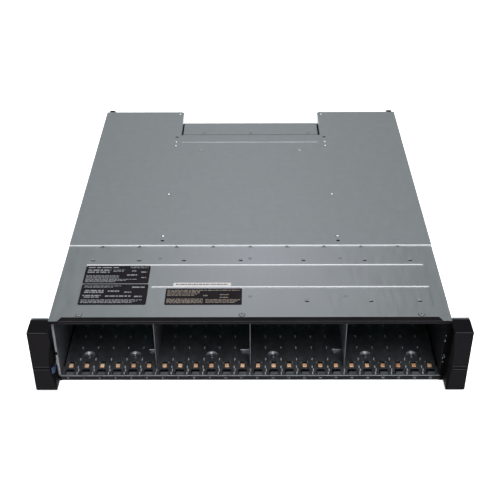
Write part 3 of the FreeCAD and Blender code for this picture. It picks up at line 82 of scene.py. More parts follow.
# %% Places in millimetres
METRE = 1000.0
FLANGE_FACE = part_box("left_rack_flange")[0].y
SIDES = (-1, 1)
LEFTWARDS, RIGHTWARDS = Vector((-1, 0, 0)), Vector((1, 0, 0))
BACKWARDS, UP = Vector((0, 1, 0)), Vector((0, 0, 1))
BAY_PITCH = 18.0
BAY_COUNT = 24


def at(across, back, up):
    """A place given in millimetres, as a point of the scene in metres."""
    return Vector((across / METRE, FLANGE_FACE + back / METRE, up / METRE))


def top_of(node):
    """The height of a solid's top, in millimetres."""
    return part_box(node)[1].z * METRE


def bay_middle(bay):
    """The middle of a bay, counted from the left, in millimetres across."""
    return BAY_PITCH * (bay - (BAY_COUNT - 1) / 2)


RECESS_DEPTH = 0.5
LIP_RISE = 0.8
COVER_TOP = top_of("front_top_cover")
RECESS_FLOOR = COVER_TOP - RECESS_DEPTH
REAR_TOP = top_of("rear_top_cover") - LIP_RISE
FLOOR_TOP = 6.7
print("rack flange face at", round(FLANGE_FACE, 4), "covers at", round(COVER_TOP, 2), round(REAR_TOP, 2))

# %% [markdown]
# ## The camera
# The photo was taken from the front, about a metre away and well above the cover. A camera could be
# placed by eye, but its place and lens were fitted to the edges of the body instead, because the long
# converging sides show every error. The turn is built from three plain angles, so that each can be read
# and changed. The plain view transform keeps white white and black black, as in the photo.

# %% Camera
LENS, SENSOR = 66.73, 36.0
YAW, PITCH, ROLL = math.radians(-0.232), math.radians(34.636), math.radians(0.230)
EYE = at(3.5, -792.5, 726.4)
FAR_LIMIT = 50.0
camera_data = bpy.data.cameras.new("photo_camera")
camera_data.sensor_width = SENSOR
camera_data.sensor_fit = "HORIZONTAL"
camera_data.lens = LENS
camera_data.clip_end = FAR_LIMIT
camera = bpy.data.objects.new("photo_camera", camera_data)
scene.collection.objects.link(camera)
forward = Vector((math.sin(YAW) * math.cos(PITCH), math.cos(YAW) * math.cos(PITCH), -math.sin(PITCH)))
level = Vector((math.cos(YAW), -math.sin(YAW), 0))
downward = forward.cross(level)
right = math.cos(ROLL) * level + math.sin(ROLL) * downward
up = math.sin(ROLL) * level - math.cos(ROLL) * downward
turn = Matrix((right, up, -forward)).transposed().to_4x4()
camera.matrix_world = Matrix.Translation(EYE) @ turn
scene.camera = camera
scene.view_settings.view_transform = "Standard"
print("camera at", [round(v, 3) for v in camera.matrix_world.translation])

# %% [markdown]
# ## The floor
# Product photos of metal boxes are taken on a white table. One large grid is enough for it, and it is
# marked as stage, because it is no part of the object. The table glows a little, because the photo's
# table is lit from below and shows no shadow.

# %% Floor
TABLE_REACH = 6.0
TABLE_WHITE = (0.93, 0.93, 0.93, 1)
floor_mesh = bmesh.new()
bmesh.ops.create_grid(floor_mesh, x_segments=1, y_segments=1, size=TABLE_REACH)
floor_data = bpy.data.meshes.new("table")
floor_mesh.to_mesh(floor_data)
floor_mesh.free()
floor = bpy.data.objects.new("table", floor_data)
scene.collection.objects.link(floor)
floor_paint = bpy.data.materials.new("white_table")
floor_paint.use_nodes = True
floor_shader = floor_paint.node_tree.nodes["Principled BSDF"]
floor_shader.inputs["Base Color"].default_value = TABLE_WHITE
floor_shader.inputs["Roughness"].default_value = 0.9
floor_shader.inputs["Specular IOR Level"].default_value = 0.1
floor_shader.inputs["Emission Color"].default_value = (1, 1, 1, 1)
floor_shader.inputs["Emission Strength"].default_value = 0.75
floor_data.materials.append(floor_paint)
floor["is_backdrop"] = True
print("table", 2 * TABLE_REACH, "m wide")

# %% [markdown]
# ## Light
# Plated sheet mirrors its surroundings, so the lamps are placed by what each face mirrors. A soft sun
# from high in front whitens the table, catches every edge that faces the viewer and leaves the backs of
# the bays dark. A weaker one overhead fills its shadow. The room stays dim, because the covers mirror the
# room behind them, and one small lamp there adds a faint sheen to the front cover.

# %% World and lamps
ROOM_TINT, ROOM_STRENGTH = (0.96, 0.98, 1.0, 1), 0.29
STAND = (0.0, 0.0, 0.0)
FRONT_COVER = (0.0, -0.15, 0.08)
world = bpy.data.worlds.new("studio")
scene.world = world
world.use_nodes = True
room = world.node_tree.nodes["Background"].inputs
room["Color"].default_value = ROOM_TINT
room["Strength"].default_value = ROOM_STRENGTH


def add_lamp(name, kind, place, target, energy, size):
    """A lamp at a place, turned to a target; a sun's size is an angle, a panel's its two sides."""
    data = bpy.data.lights.new(name, kind)
    data.energy = energy
    if kind == "AREA":
        data.shape = "RECTANGLE"
        data.size, data.size_y = size
    else:
        data.angle = size
    lamp = bpy.data.objects.new(name, data)
    scene.collection.objects.link(lamp)
    towards = Vector(target) - Vector(place)
    lamp.matrix_world = Matrix.Translation(place) @ towards.to_track_quat("-Z", "Y").to_matrix().to_4x4()


add_lamp("front_sun", "SUN", (0.5, -1.5, 2.6), STAND, energy=2.2, size=math.radians(30))
add_lamp("overhead_sun", "SUN", (0.0, 0.3, 3.0), STAND, energy=0.6, size=math.radians(60))
add_lamp("rear_lamp", "AREA", (-0.05, 3.3, 2.5), FRONT_COVER, energy=1.6, size=(0.9, 0.5))

# %% [markdown]
# ## Building blocks of a finish
# A noise, a ramp from a dark to a light tone, a spread of gloss and a bump are the four blocks of every
# finish here, because no real surface is one flat colour. Pictures could do it, but noises have no pixels
# to run out of. All read Object coordinates, so the pattern stays on the sheet when a module slides out.

# %% Finish helpers
NOISE_LOW, NOISE_HIGH = 0.3, 0.7


def start_finish(name):
    """A new material, its node tree and its shader."""
    finish = bpy.data.materials.new(name)
    finish.use_nodes = True
    return finish, finish.node_tree, finish.node_tree.nodes["Principled BSDF"]


def object_mapping(tree, stretch):
    """A mapping of Object coordinates, stretched along the axes."""
    coordinates = tree.nodes.new("ShaderNodeTexCoord")
    mapping = tree.nodes.new("ShaderNodeMapping")
    mapping.inputs["Scale"].default_value = stretch
    tree.links.new(coordinates.outputs["Object"], mapping.inputs["Vector"])
    return mapping


def noise_of(tree, scale, detail=3.0, stretch=(1, 1, 1)):
    """The factor of a noise, stretched along the axes."""
    noise = tree.nodes.new("ShaderNodeTexNoise")
    noise.inputs["Scale"].default_value = scale
    noise.inputs["Detail"].default_value = detail
    tree.links.new(object_mapping(tree, stretch).outputs["Vector"], noise.inputs["Vector"])
    return noise.outputs["Fac"]


def patch_of(tree, centre, reach):
    """A factor that falls from one at a place to nothing at a distance."""
    mapping = object_mapping(tree, (1 / reach, 1 / reach, 1 / reach))
    mapping.inputs["Location"].default_value = -centre / reach
    gradient = tree.nodes.new("ShaderNodeTexGradient")
    gradient.gradient_type = "SPHERICAL"
    tree.links.new(mapping.outputs["Vector"], gradient.inputs["Vector"])
    return gradient.outputs["Fac"]


def tint(tree, factor, dark, light, low=NOISE_LOW, high=NOISE_HIGH):
    """A colour that goes from dark to light with a factor."""
    ramp = tree.nodes.new("ShaderNodeValToRGB")
    ramp.color_ramp.elements[0].position = low
    ramp.color_ramp.elements[0].color = (*dark, 1)
    ramp.color_ramp.elements[1].position = high
    ramp.color_ramp.elements[1].color = (*light, 1)
    tree.links.new(factor, ramp.inputs["Fac"])
    return ramp.outputs["Color"]


def spread(tree, factor, low, high):
    """A number that goes from low to high with a factor."""
    spreader = tree.nodes.new("ShaderNodeMapRange")
    spreader.inputs["From Min"].default_value = NOISE_LOW
    spreader.inputs["From Max"].default_value = NOISE_HIGH
    spreader.inputs["To Min"].default_value = low
    spreader.inputs["To Max"].default_value = high
    tree.links.new(factor, spreader.inputs["Value"])
    return spreader.outputs["Result"]


def emboss(tree, shader, factor, depth, strength):
    """Bump from a factor, with its depth in metres."""
    bump = tree.nodes.new("ShaderNodeBump")
    bump.inputs["Distance"].default_value = depth
    bump.inputs["Strength"].default_value = strength
    tree.links.new(factor, bump.inputs["Height"])
    tree.links.new(bump.outputs["Normal"], shader.inputs["Normal"])


print("finish helpers ready")

# %% [markdown]
# ## Recipes for sheet and plastic
# Plated sheet is not one grey: the zinc has a faint cloudy mottle, a fine grain from rolling and slightly
# uneven gloss. Three noises at different scales give that. Moulded plastic takes the same recipe with a
# finer, stronger grain and no metal. The ears need one more: their inner bevels lie in shade, so that
# plastic has a second, darker tone of painted shade inside a large ball, whose surface cuts the face in a
# soft arc.

# %% Sheet and plastic
PATCH_EDGE = 0.12
PATCH_BLUR = 0.0004
EAR_GLOSS = (0.48, 0.58)
MOULD_GRAIN, MOULD_DEPTH = 2600.0, 0.00005


def plated_sheet(name, dark, light, gloss, metal=0.97, rolled=(1, 1, 1), mottle=90.0, patch=None):
    """Plated sheet: cloudy mottle or one painted reflection, rolling grain and uneven gloss."""
    finish, tree, shader = start_finish(name)
    if patch is None:
        colour = tint(tree, noise_of(tree, mottle, detail=5.0), dark, light)
    else:
        colour = tint(tree, patch_of(tree, *patch), dark, light, low=0.1, high=0.95)
    unevenness = noise_of(tree, 240.0, detail=4.0, stretch=rolled)
    grain = noise_of(tree, 1500.0, detail=2.0, stretch=rolled)
    tree.links.new(colour, shader.inputs["Base Color"])
    tree.links.new(spread(tree, unevenness, *gloss), shader.inputs["Roughness"])
    emboss(tree, shader, grain, depth=0.00004, strength=0.25)
    shader.inputs["Metallic"].default_value = metal
    return finish


def eroded_skin(tree, shader, gloss, grain=MOULD_GRAIN, depth=MOULD_DEPTH):
    """The fine texture of a mould: uneven gloss and a grain."""
    tree.links.new(spread(tree, noise_of(tree, 130.0), *gloss), shader.inputs["Roughness"])
    emboss(tree, shader, noise_of(tree, grain, detail=2.0), depth, strength=0.35)


def moulding(name, dark, light, gloss, grain=MOULD_GRAIN, depth=MOULD_DEPTH, shine=0.07):
    """Moulded plastic with a fine eroded texture, which leaves it little shine."""
    finish, tree, shader = start_finish(name)
    shader.inputs["Specular IOR Level"].default_value = shine
    tree.links.new(tint(tree, noise_of(tree, 60.0, detail=4.0), dark, light), shader.inputs["Base Color"])
    eroded_skin(tree, shader, gloss, grain, depth)
    return finish


def shaded_moulding(name, dark, light, centre, radius):
    """Black plastic with painted shade: darker within a radius of a place."""
    finish, tree, shader = start_finish(name)
    reach = radius / (1 - PATCH_EDGE)
    blur = PATCH_BLUR / reach
    shader.inputs["Specular IOR Level"].default_value = 0.02
    ball = patch_of(tree, centre, reach)
    shade = tint(tree, ball, light, dark, PATCH_EDGE - blur, PATCH_EDGE + blur)
    tree.links.new(shade, shader.inputs["Base Color"])
    eroded_skin(tree, shader, EAR_GLOSS)
    return finish


print("recipes ready")

# %% [markdown]
# ## Finishes of the solids
# Each solid names a material slot, and each slot gets one finish. The rear and side sheet is one plain
# zinc grey, the cage is the same zinc painted darker for the shade inside it, and the contact springs are
# copper with light and dark ends.

# %% Finishes by slot
ROLLED = (1, 0.12, 1)
CAGE_GLOSS = (0.40, 0.48)
BRIGHT_STEEL = ((0.60, 0.61, 0.62), (0.70, 0.71, 0.72))
DULL_BLACK = ((0.007, 0.007, 0.008), (0.011, 0.011, 0.012))
finishes = {
    "zinc_steel": plated_sheet(
        "zinc_sheet", (0.462, 0.502, 0.520), (0.492, 0.530, 0.548), gloss=(0.40, 0.46), rolled=ROLLED),
    "fastener_steel": plated_sheet("bright_fastener", *BRIGHT_STEEL, gloss=(0.30, 0.42), metal=1.0),
    # The cage zinc is painted darker: a painted shade.
    "cage_steel": plated_sheet(
        "cage_sheet", (0.285, 0.30, 0.33), (0.36, 0.375, 0.405), CAGE_GLOSS, metal=1.0, rolled=ROLLED),
    "faceplate_steel": plated_sheet(
        "faceplate_sheet", (0.50, 0.53, 0.55), (0.56, 0.59, 0.61), gloss=(0.36, 0.48)),
    "port_steel": plated_sheet("tinned_cage", *BRIGHT_STEEL, gloss=(0.25, 0.35), metal=1.0),
    "contact_copper": plated_sheet(
        "copper_spring", (0.58, 0.27, 0.13), (1.0, 0.68, 0.44), gloss=(0.30, 0.42), metal=0.35, mottle=28.0),
    "ear_plastic": moulding("ear_black", (0.0055, 0.005, 0.006), (0.0075, 0.007, 0.008), EAR_GLOSS),
    "trim_plastic": moulding(
        "trim_black", (0.007, 0.006, 0.0075), (0.010, 0.009, 0.0105), gloss=(0.46, 0.58)),
    "blue_plastic": moulding(
        "blue_button", (0.020, 0.034, 0.080), (0.028, 0.045, 0.105), gloss=(0.38, 0.48)),
    "circuit_board": moulding(
        "solder_mask", (0.006, 0.035, 0.016), (0.010, 0.055, 0.024), gloss=(0.30, 0.42), grain=420.0),
    "connector_plastic": moulding("connector_black", *DULL_BLACK, gloss=(0.40, 0.52)),
    "fan_plastic": moulding("fan_black", *DULL_BLACK, gloss=(0.45, 0.55)),
    "handle_plastic": moulding(
        "handle_black", (0.008, 0.008, 0.009), (0.012, 0.012, 0.013), gloss=(0.40, 0.52)),
    "latch_plastic": moulding("latch_blue", (0.022, 0.050, 0.17), (0.032, 0.070, 0.22), gloss=(0.40, 0.50)),
}
print(len(finishes), "finishes by slot")

# %% [markdown]
# ## Finishes by name
# Some solids differ from their slot. The front cover carries a painted reflection of a lamp: it runs
# from a greenish grey at its ends to a paler lavender grey in the middle. The walls and dividers of the
# cage are painted darker than its floor for the shade they stand in, the right wall most of all, and
# each ear has painted shade on its inner bevel. So these get a finish by name.

# %% Finishes by name
PAINTED_REFLECTION = (at(10, 120, COVER_TOP), 0.26)
EAR_SHADE = (0.0022, 0.0020, 0.0023)
LEFT_EAR_SHADE_BALL = (at(-112.0, -20.0, 37.4), 0.1102)
RIGHT_EAR_SHADE_BALL = (at(-120.1, -20.0, 41.0), 0.343)
DIVIDER_NODES = ("left_bay_divider", "middle_bay_divider", "right_bay_divider")
# Painted shade: the cage walls and dividers are darker copies of the cage zinc, the right wall darkest.
wall_sheet_painted_shade = plated_sheet(
    "wall_sheet_painted_shade", (0.20, 0.21, 0.23), (0.26, 0.27, 0.29), CAGE_GLOSS, metal=1.0, rolled=ROLLED)
dark_wall_painted_shade = plated_sheet(
    "dark_wall_painted_shade", (0.06, 0.06, 0.07), (0.09, 0.09, 0.10), CAGE_GLOSS, metal=1.0, rolled=ROLLED)
own_finishes = {
    # The pale patch on the front cover is a painted reflection of a lamp.
    "front_top_cover": plated_sheet(
        "front_cover_painted_reflection", (0.412, 0.448, 0.458), (0.590, 0.615, 0.657), gloss=(0.37, 0.50), rolled=ROLLED,
        patch=PAINTED_REFLECTION),
    "left_cage_wall": wall_sheet_painted_shade,
    "right_cage_wall": dark_wall_painted_shade,
    # The inner bevel of each ear gets painted shade inside a ball.
    "left_ear_cover": shaded_moulding(
        "left_ear_painted_shade", EAR_SHADE, (0.0088, 0.0080, 0.0094), *LEFT_EAR_SHADE_BALL),
    "right_ear_cover": shaded_moulding(
        "right_ear_painted_shade", EAR_SHADE, (0.0083, 0.0075, 0.0088), *RIGHT_EAR_SHADE_BALL),
}
for node in DIVIDER_NODES:
    own_finishes[node] = wall_sheet_painted_shade
for node, solid in nodes.items():
    solid.data.materials.clear()
    solid.data.materials.append(own_finishes.get(node, finishes[slot_of[node]]))
print(len(nodes), "solids dressed,", len(own_finishes), "by name")

# %% [markdown]
# ## Building small pieces
# Most of what is left is thin and flat: labels, ink, tabs and screw heads. A cube that is scaled, moved
# and bevelled is the quickest honest start for those, and a cone with equal ends for everything round.
# One helper turns a finished bmesh into an object that rides on its body.

# %% Piece helpers
BEVEL_STEPS = 3
ALIGNED = 0.99


def round_off(bm, edges, rounding):
    """Edges rounded, in millimetres."""
    bmesh.ops.bevel(bm, geom=list(edges), offset=rounding / METRE, segments=BEVEL_STEPS, profile=0.5,
                    affect="EDGES", material=-1)


def add_slab(bm, low, high, rounding=0.0, along=None):
    """A box between two corners; its edges, or only those along one axis, are rounded."""
    made = bmesh.ops.create_cube(bm, size=1.0)["verts"]
    bmesh.ops.scale(bm, vec=high - low, verts=made)
    bmesh.ops.translate(bm, vec=(low + high) / 2, verts=made)
    if rounding:
        edges = {edge for vert in made for edge in vert.link_edges}
        if along is not None:
            edges = {e for e in edges if abs((e.verts[0].co - e.verts[1].co).normalized()[along]) > ALIGNED}
        round_off(bm, edges, rounding)
    return made


def add_plate(bm, middle, half, depths, heights, rounding=0.0, along=None):
    """A box in millimetres, as far to the left of its middle as to the right."""
    low, high = at(middle - half, depths[0], heights[0]), at(middle + half, depths[1], heights[1])
    return add_slab(bm, low, high, rounding, along)


def add_wedge(bm, low, high, thin=0.05):
    """A box whose top falls towards the front, down to a thin edge."""
    made = add_slab(bm, low, high)
    middle = (low + high) / 2
    front = [v for v in made if v.co.y < middle.y and v.co.z > middle.z]
    bmesh.ops.translate(bm, vec=(0, 0, (low.z - high.z) * (1 - thin)), verts=front)


def add_stud(bm, foot, axis, radius, height, rounding=0.0, segments=24):
    """A round head, in millimetres, that stands on a place along an axis, its far rim rounded."""
    tall = height / METRE
    wide = radius / METRE
    turned = axis.to_track_quat("Z", "Y").to_matrix().to_4x4()
    place = Matrix.Translation(foot + axis * tall / 2) @ turned
    cone = bmesh.ops.create_cone(bm, cap_ends=True, segments=segments, radius1=wide, radius2=wide,
                                 depth=tall, matrix=place)
    if rounding:
        far = {v for v in cone["verts"] if (v.co - foot).dot(axis) > tall / 2}
        rim = {e for v in far for e in v.link_edges if all(end in far for end in e.verts)}
        round_off(bm, rim, rounding)


def finish_piece(name, bm, finish, body="enclosure"):
    """The bmesh as an object of the scene that rides on a body."""
    mesh = bpy.data.meshes.new(name)
    bm.to_mesh(mesh)
    bm.free()
    mesh.materials.append(finish)
    piece = bpy.data.objects.new(name, mesh)
    scene.collection.objects.link(piece)
    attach(piece, body)
    print(name, len(mesh.polygons), "faces on", body)
    return piece


print("piece helpers ready")

# %% [markdown]
# ## Finishes of small pieces
# Small pieces share a few tones of zinc: a socket grey that paints shade on what lies in shade, a soft
# zinc for dull heads and for painted glints, a pale one that paints the highlight on edges that always
# catch light, a darker one for the painted shade of dimples and for weld marks on the sheet, and a bright
# one that paints the light on the ramps. Small openings of a closed box look black, so one very dull black
# paints their shade.

# %% Finishes of small pieces
WORN_GLOSS = (0.45, 0.55)
socket_zinc = plated_sheet("socket_zinc", (0.17, 0.18, 0.19), (0.21, 0.22, 0.23), WORN_GLOSS)
soft_zinc = plated_sheet(
    "soft_zinc", (0.26, 0.27, 0.285), (0.33, 0.34, 0.355), gloss=(0.50, 0.60), metal=0.3)
painted_highlight_zinc = plated_sheet("painted_highlight_zinc", (0.86, 0.87, 0.88), (0.92, 0.93, 0.94), WORN_GLOSS, metal=0.15)
shade_and_mark_zinc = plated_sheet("shade_and_mark_zinc", (0.36, 0.39, 0.41), (0.40, 0.43, 0.45), WORN_GLOSS)
ramp_painted_highlight = plated_sheet(
    "ramp_painted_highlight", (0.50, 0.525, 0.575), (0.60, 0.625, 0.675), CAGE_GLOSS, metal=1.0)
rim_grey = moulding("rim_grey", (0.052, 0.049, 0.053), (0.062, 0.059, 0.063), gloss=(0.40, 0.50))
deep_black = moulding(
    "deep_black", (0.003, 0.003, 0.003), (0.004, 0.004, 0.004), gloss=(0.70, 0.80), shine=0.02)
print(len(bpy.data.materials), "finishes so far")

# %% [markdown]
# ## Label films
# The front cover carries three black films in its pressed recess and a narrow white sticker on the raised
# band. A film could be only a colour on the sheet, but a real film has a thickness and rounded corners
# that catch light, so each is a thin slab.

# %% Label films
FILM = 0.12
PRINT_SKIN = {"grain": 900.0, "depth": 0.00001}
REAR_LEFT_LABEL = ((-194.0, -117.7), (66.8, 101.6))
FRONT_LEFT_LABEL = ((-193.6, -117.0), (26.5, 65.1))
FRONT_MIDDLE_LABEL = ((-96.3, -9.2), (26.2, 56.7))
BAND_STICKER = ((-88.6, -22.2), (60.8, 67.0))
black_film = moulding(
    "black_label_film", (0.012, 0.010, 0.013), (0.017, 0.015, 0.018), gloss=(0.32, 0.40), **PRINT_SKIN)
white_paper = moulding(
    "white_sticker", (0.62, 0.61, 0.60), (0.68, 0.67, 0.66), gloss=(0.50, 0.60), grain=1500.0, depth=0.00001)


def add_label(name, place, foot, film, rounding):
    """One label film, given by where it starts and stops across and back."""
    (left, right), (near, far) = place
    bm = bmesh.new()
    add_slab(bm, at(left, near, foot), at(right, far, foot + FILM), rounding, along=2)
    finish_piece(name, bm, film)


add_label("rear_left_label", REAR_LEFT_LABEL, RECESS_FLOOR, black_film, rounding=2.0)
add_label("front_left_label", FRONT_LEFT_LABEL, RECESS_FLOOR, black_film, rounding=2.0)
add_label("front_middle_label", FRONT_MIDDLE_LABEL, RECESS_FLOOR, black_film, rounding=1.5)
add_label("band_sticker", BAND_STICKER, COVER_TOP, white_paper, rounding=0.5)

# %% [markdown]
# ## Print on the labels
# Words and signs are left out on purpose. Plain pale bars, laid out like lines of print, keep the look of
# a printed film from a distance. The bars are real, very thin slabs, because a pattern in a material
# would blur at this size. Each row is five numbers from the label's near left corner: how far back it
# lies, how high its letters are, where it starts and stops, and the length of a usual word.

# %% Print on the labels
INK = 0.03
WORD_SHARES = (1.0, 0.6, 1.4, 0.8, 1.2, 0.5)
WORD_GAP = 0.22
pale_ink = moulding("pale_ink", (0.24, 0.25, 0.27), (0.30, 0.31, 0.33), WORN_GLOSS, **PRINT_SKIN)
warm_ink = moulding("warm_ink", (0.22, 0.19, 0.16), (0.28, 0.24, 0.21), WORN_GLOSS, **PRINT_SKIN)
dark_ink = moulding("dark_ink", (0.10, 0.08, 0.09), (0.14, 0.12, 0.13), WORN_GLOSS, **PRINT_SKIN)


def add_print(name, place, rows, foot, ink):
    """Rows of bars on a label; the words of a row differ in length."""
    (left, _), (near, _) = place
    face = foot + FILM
    bm = bmesh.new()
    for number, (back, height, start, stop, word) in enumerate(rows):
        count = number
        while start < stop:
            end = min(start + word * WORD_SHARES[count % len(WORD_SHARES)], stop)
            low = at(left + start, near + back, face)
            add_slab(bm, low, at(left + end, near + back + height, face + INK))
            start = end + word * WORD_GAP
            count += 1
    finish_piece(name, bm, ink)


rear_left_rows = [
    (30.3, 1.9, 3, 40, 8), (31.9, 0.9, 52, 74, 5), (30.1, 0.9, 54, 74, 4), (24.9, 2.3, 3, 30, 6),
    (20.9, 2.3, 3, 29, 7), (25.5, 1.2, 33, 47, 5), (22.9, 1.2, 33, 45, 5), (23.3, 2.2, 55, 60, 3),
    (20.9, 2.2, 66, 73, 4), (15.1, 2.4, 50, 62, 4), (10.3, 1.6, 67, 73, 3)]
rear_left_rows += [(14.3 - 2.3 * n, 1.1, 2.5, 41, 4) for n in range(3)]
rear_left_rows += [(7.2 - 2.3 * n, 1.1, 2.5, 62 - 12 * n, 4) for n in range(3)]
front_left_rows = [
    (34.6, 1.1, 3, 45, 5), (32.4, 0.9, 3, 36, 4), (31.6, 2.4, 58, 73, 6), (25.4, 2.2, 5, 26, 6),
    (22.2, 2.2, 4, 27, 4), (24.2, 2.4, 31, 44, 4), (22.4, 2.0, 50, 58, 3), (16.4, 1.8, 3, 24, 4),
    (13.4, 1.8, 5, 22, 5), (15.0, 2.2, 29, 58, 5), (14.2, 2.4, 62, 71, 4)]
front_left_rows += [(8.4 - 2.4 * n, 1.2, 2.5, 71 - 5 * n, 4) for n in range(3)]
middle_rows = [(26.4, 1.3, 2, 85, 4), (24.0, 1.2, 2, 40, 5)]
middle_rows += [(21.6 - 2.4 * n, 1.2, 2, 39 - 3 * n, 4) for n in range(3)]
middle_rows += [(16.0, 2.2, 43, 48, 3), (18.0, 1.6, 62, 72, 3), (12.8, 1.6, 62, 72, 4)]
middle_rows += [(10.0 - 2.2 * n, 1.2, 2, 43, 4) for n in range(4)]
middle_rows += [(8.8 - 2.4 * n, 1.3, 46, 85 - 3 * n, 4) for n in range(3)]
add_print("rear_left_print", REAR_LEFT_LABEL, rear_left_rows, RECESS_FLOOR, pale_ink)
add_print("front_left_print", FRONT_LEFT_LABEL, front_left_rows, RECESS_FLOOR, pale_ink)
add_print("front_middle_print", FRONT_MIDDLE_LABEL, middle_rows, RECESS_FLOOR, warm_ink)
add_print("sticker_print", BAND_STICKER, [(2.2, 1.8, 3, 63, 3)], COVER_TOP, dark_ink)

# %% [markdown]
# ## Fasteners of the covers
# The solids carry each fastener as a small flat-sided block, which is all that a simulation needs. Here
# they are replaced by turned heads with rounded rims, the rivet heads pale with a painted highlight. The
# socket of each screw and the ring round each head are grey discs of painted shade, because a real hole
# this small would only show as noise.

# %% Cover screws and rivets
SCREW_LINES = (-10.5, -0.5, 10.5)
SCREW_BACK = 8.0
SOCKET_LIFT = 0.88
RIVET_LINE = 108.0
RIVET_ROWS = (162.2, 262.2, 397.5, 409.0, 498.5)
screws = bmesh.new()
sockets = bmesh.new()
for line in SCREW_LINES:
    foot = at(BAY_PITCH * line, SCREW_BACK, COVER_TOP)
    socket = at(BAY_PITCH * line, SCREW_BACK, COVER_TOP + SOCKET_LIFT)
    add_stud(screws, foot, UP, radius=2.8, height=0.9, rounding=0.4)
    add_stud(sockets, socket, UP, radius=1.2, height=0.06)
    add_stud(sockets, foot, UP, radius=3.8, height=0.05)
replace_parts(finish_piece("screw_heads", screws, soft_zinc), "cover_screws")
finish_piece("screw_sockets", sockets, socket_zinc)
rivets = bmesh.new()
shade_rings = bmesh.new()
for side in SIDES:
    for row in RIVET_ROWS:
        foot = at(side * RIVET_LINE, row, REAR_TOP)
        add_stud(rivets, foot, UP, radius=1.6, height=0.55, rounding=0.3)
        add_stud(shade_rings, foot, UP, radius=2.5, height=0.05)
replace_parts(finish_piece("rivet_heads", rivets, painted_highlight_zinc), "cover_rivets")
finish_piece("rivet_shade_rings", shade_rings, socket_zinc)

# %% [markdown]
# ## Half-shears of the covers
# Sheet covers are located by half-shears, small rounds that a punch pushes part of the way through. From
# the front each shows a bright cap over a dark open edge. A rounded stud gives the cap, and a thin black
# slab paints the shadow of the edge. The same slabs paint the shade in the slots under the rear cover's
# edge, into which its hooks reach.

# %% Half-shears and hook slots
REAR_SHEARS = (-188.0, -133.2, -79.6, -11.5, 63.5, 136.3, 190.8)
FRONT_SHEARS = (63.9, 136.0, 190.7)
SHEAR_ROWS = ((112.8, COVER_TOP, REAR_SHEARS), (33.8, RECESS_FLOOR, FRONT_SHEARS))
EDGE_HALF, EDGE_REACH, EDGE_FILM = 2.4, 1.0, 0.06
HOOK_PITCH, HOOK_HALF, HOOK_DEPTHS = 45.0, 1.6, (140.9, 142.2)
shears = bmesh.new()
edges = bmesh.new()
for row, height, places in SHEAR_ROWS:
    for across in places:
        add_stud(shears, at(across - 0.5, row + 1.0, height), UP, radius=2.0, height=0.5, rounding=0.3)
        middle, back = across + 0.3, row - 1.4
        depths, heights = (back - EDGE_REACH, back + EDGE_REACH), (height, height + EDGE_FILM)
        add_plate(edges, middle, EDGE_HALF, depths, heights, rounding=0.9, along=2)
for number in range(-4, 5):
    add_plate(edges, HOOK_PITCH * number, HOOK_HALF, HOOK_DEPTHS, (COVER_TOP, COVER_TOP + EDGE_FILM))
finish_piece("half_shears", shears, soft_zinc)
finish_piece("half_shear_shadows", edges, deep_black)

# %% [markdown]
# ## Dimples and pips
# Spot welds leave dimples, drawn as flat discs of a zinc only a little darker than the sheet: painted
# shade. The two pips ahead of the notch are pressed through the sheet from below: each is a bright rounded
# slab, a painted highlight, in a ring of painted shade.

# %% Dimples and pips
DIMPLES = ((115.8, COVER_TOP, (-108.0, 0.0, 108.0)), (41.6, RECESS_FLOOR, (0.0, 108.0)))
DIMPLE_FILM = 0.04
PIP_LINE = 70.0
PIP_HALF, PIP_DEPTHS, PIP_HEIGHTS = 3.2, (382.2, 386.2), (REAR_TOP, REAR_TOP + 0.5)
SEAT_HALF, SEAT_DEPTHS, SEAT_HEIGHTS = 4.5, (380.6, 386.6), (REAR_TOP, REAR_TOP + DIMPLE_FILM)
dimples = bmesh.new()
for row, height, places in DIMPLES:
    for across in places:
        add_stud(dimples, at(across, row, height), UP, radius=2.4, height=DIMPLE_FILM)
pips = bmesh.new()
for side in SIDES:
    add_plate(dimples, side * PIP_LINE, SEAT_HALF, SEAT_DEPTHS, SEAT_HEIGHTS, rounding=2.8, along=2)
    add_plate(pips, side * PIP_LINE, PIP_HALF, PIP_DEPTHS, PIP_HEIGHTS, rounding=1.8, along=2)
finish_piece("weld_dimples", dimples, shade_and_mark_zinc)
finish_piece("cover_pips", pips, finishes["fastener_steel"])

# %% [markdown]
# ## Steps of the covers
# A pressed step in plated sheet shows as one white line, because its rounded lip always finds the lamp
# somewhere. The lip could be rounded finely enough to do that by itself, but a narrow pale strip along
# each step does the same at this distance with six faces.

# %% Steps
STEPS = (
    (at(-221.0, 142.3, COVER_TOP), at(221.0, 143.3, COVER_TOP + 0.9)),
    (at(-194.0, 102.3, RECESS_FLOOR), at(205.0, 103.7, COVER_TOP + 0.05)),
    (at(-113.0, 58.5, COVER_TOP - 0.1), at(205.0, 60.2, COVER_TOP + 0.05)),
    (at(-99.5, 407.8, REAR_TOP), at(97.0, 408.3, REAR_TOP + 0.06)),
)
steps = bmesh.new()
for low, high in STEPS:
    add_slab(steps, low, high)
finish_piece("step_glints", steps, painted_highlight_zinc)

# %% [markdown]
# ## Openings of the covers
# The square holes, the gaps beside the controllers and the rear of the raised lip look black, as small
# openings of a closed box do. The inside is really there, but light would leak in through the empty bays,
# so black plates lie in these openings. The controller's own top has three flat weld marks, which go with
# it when it slides out.

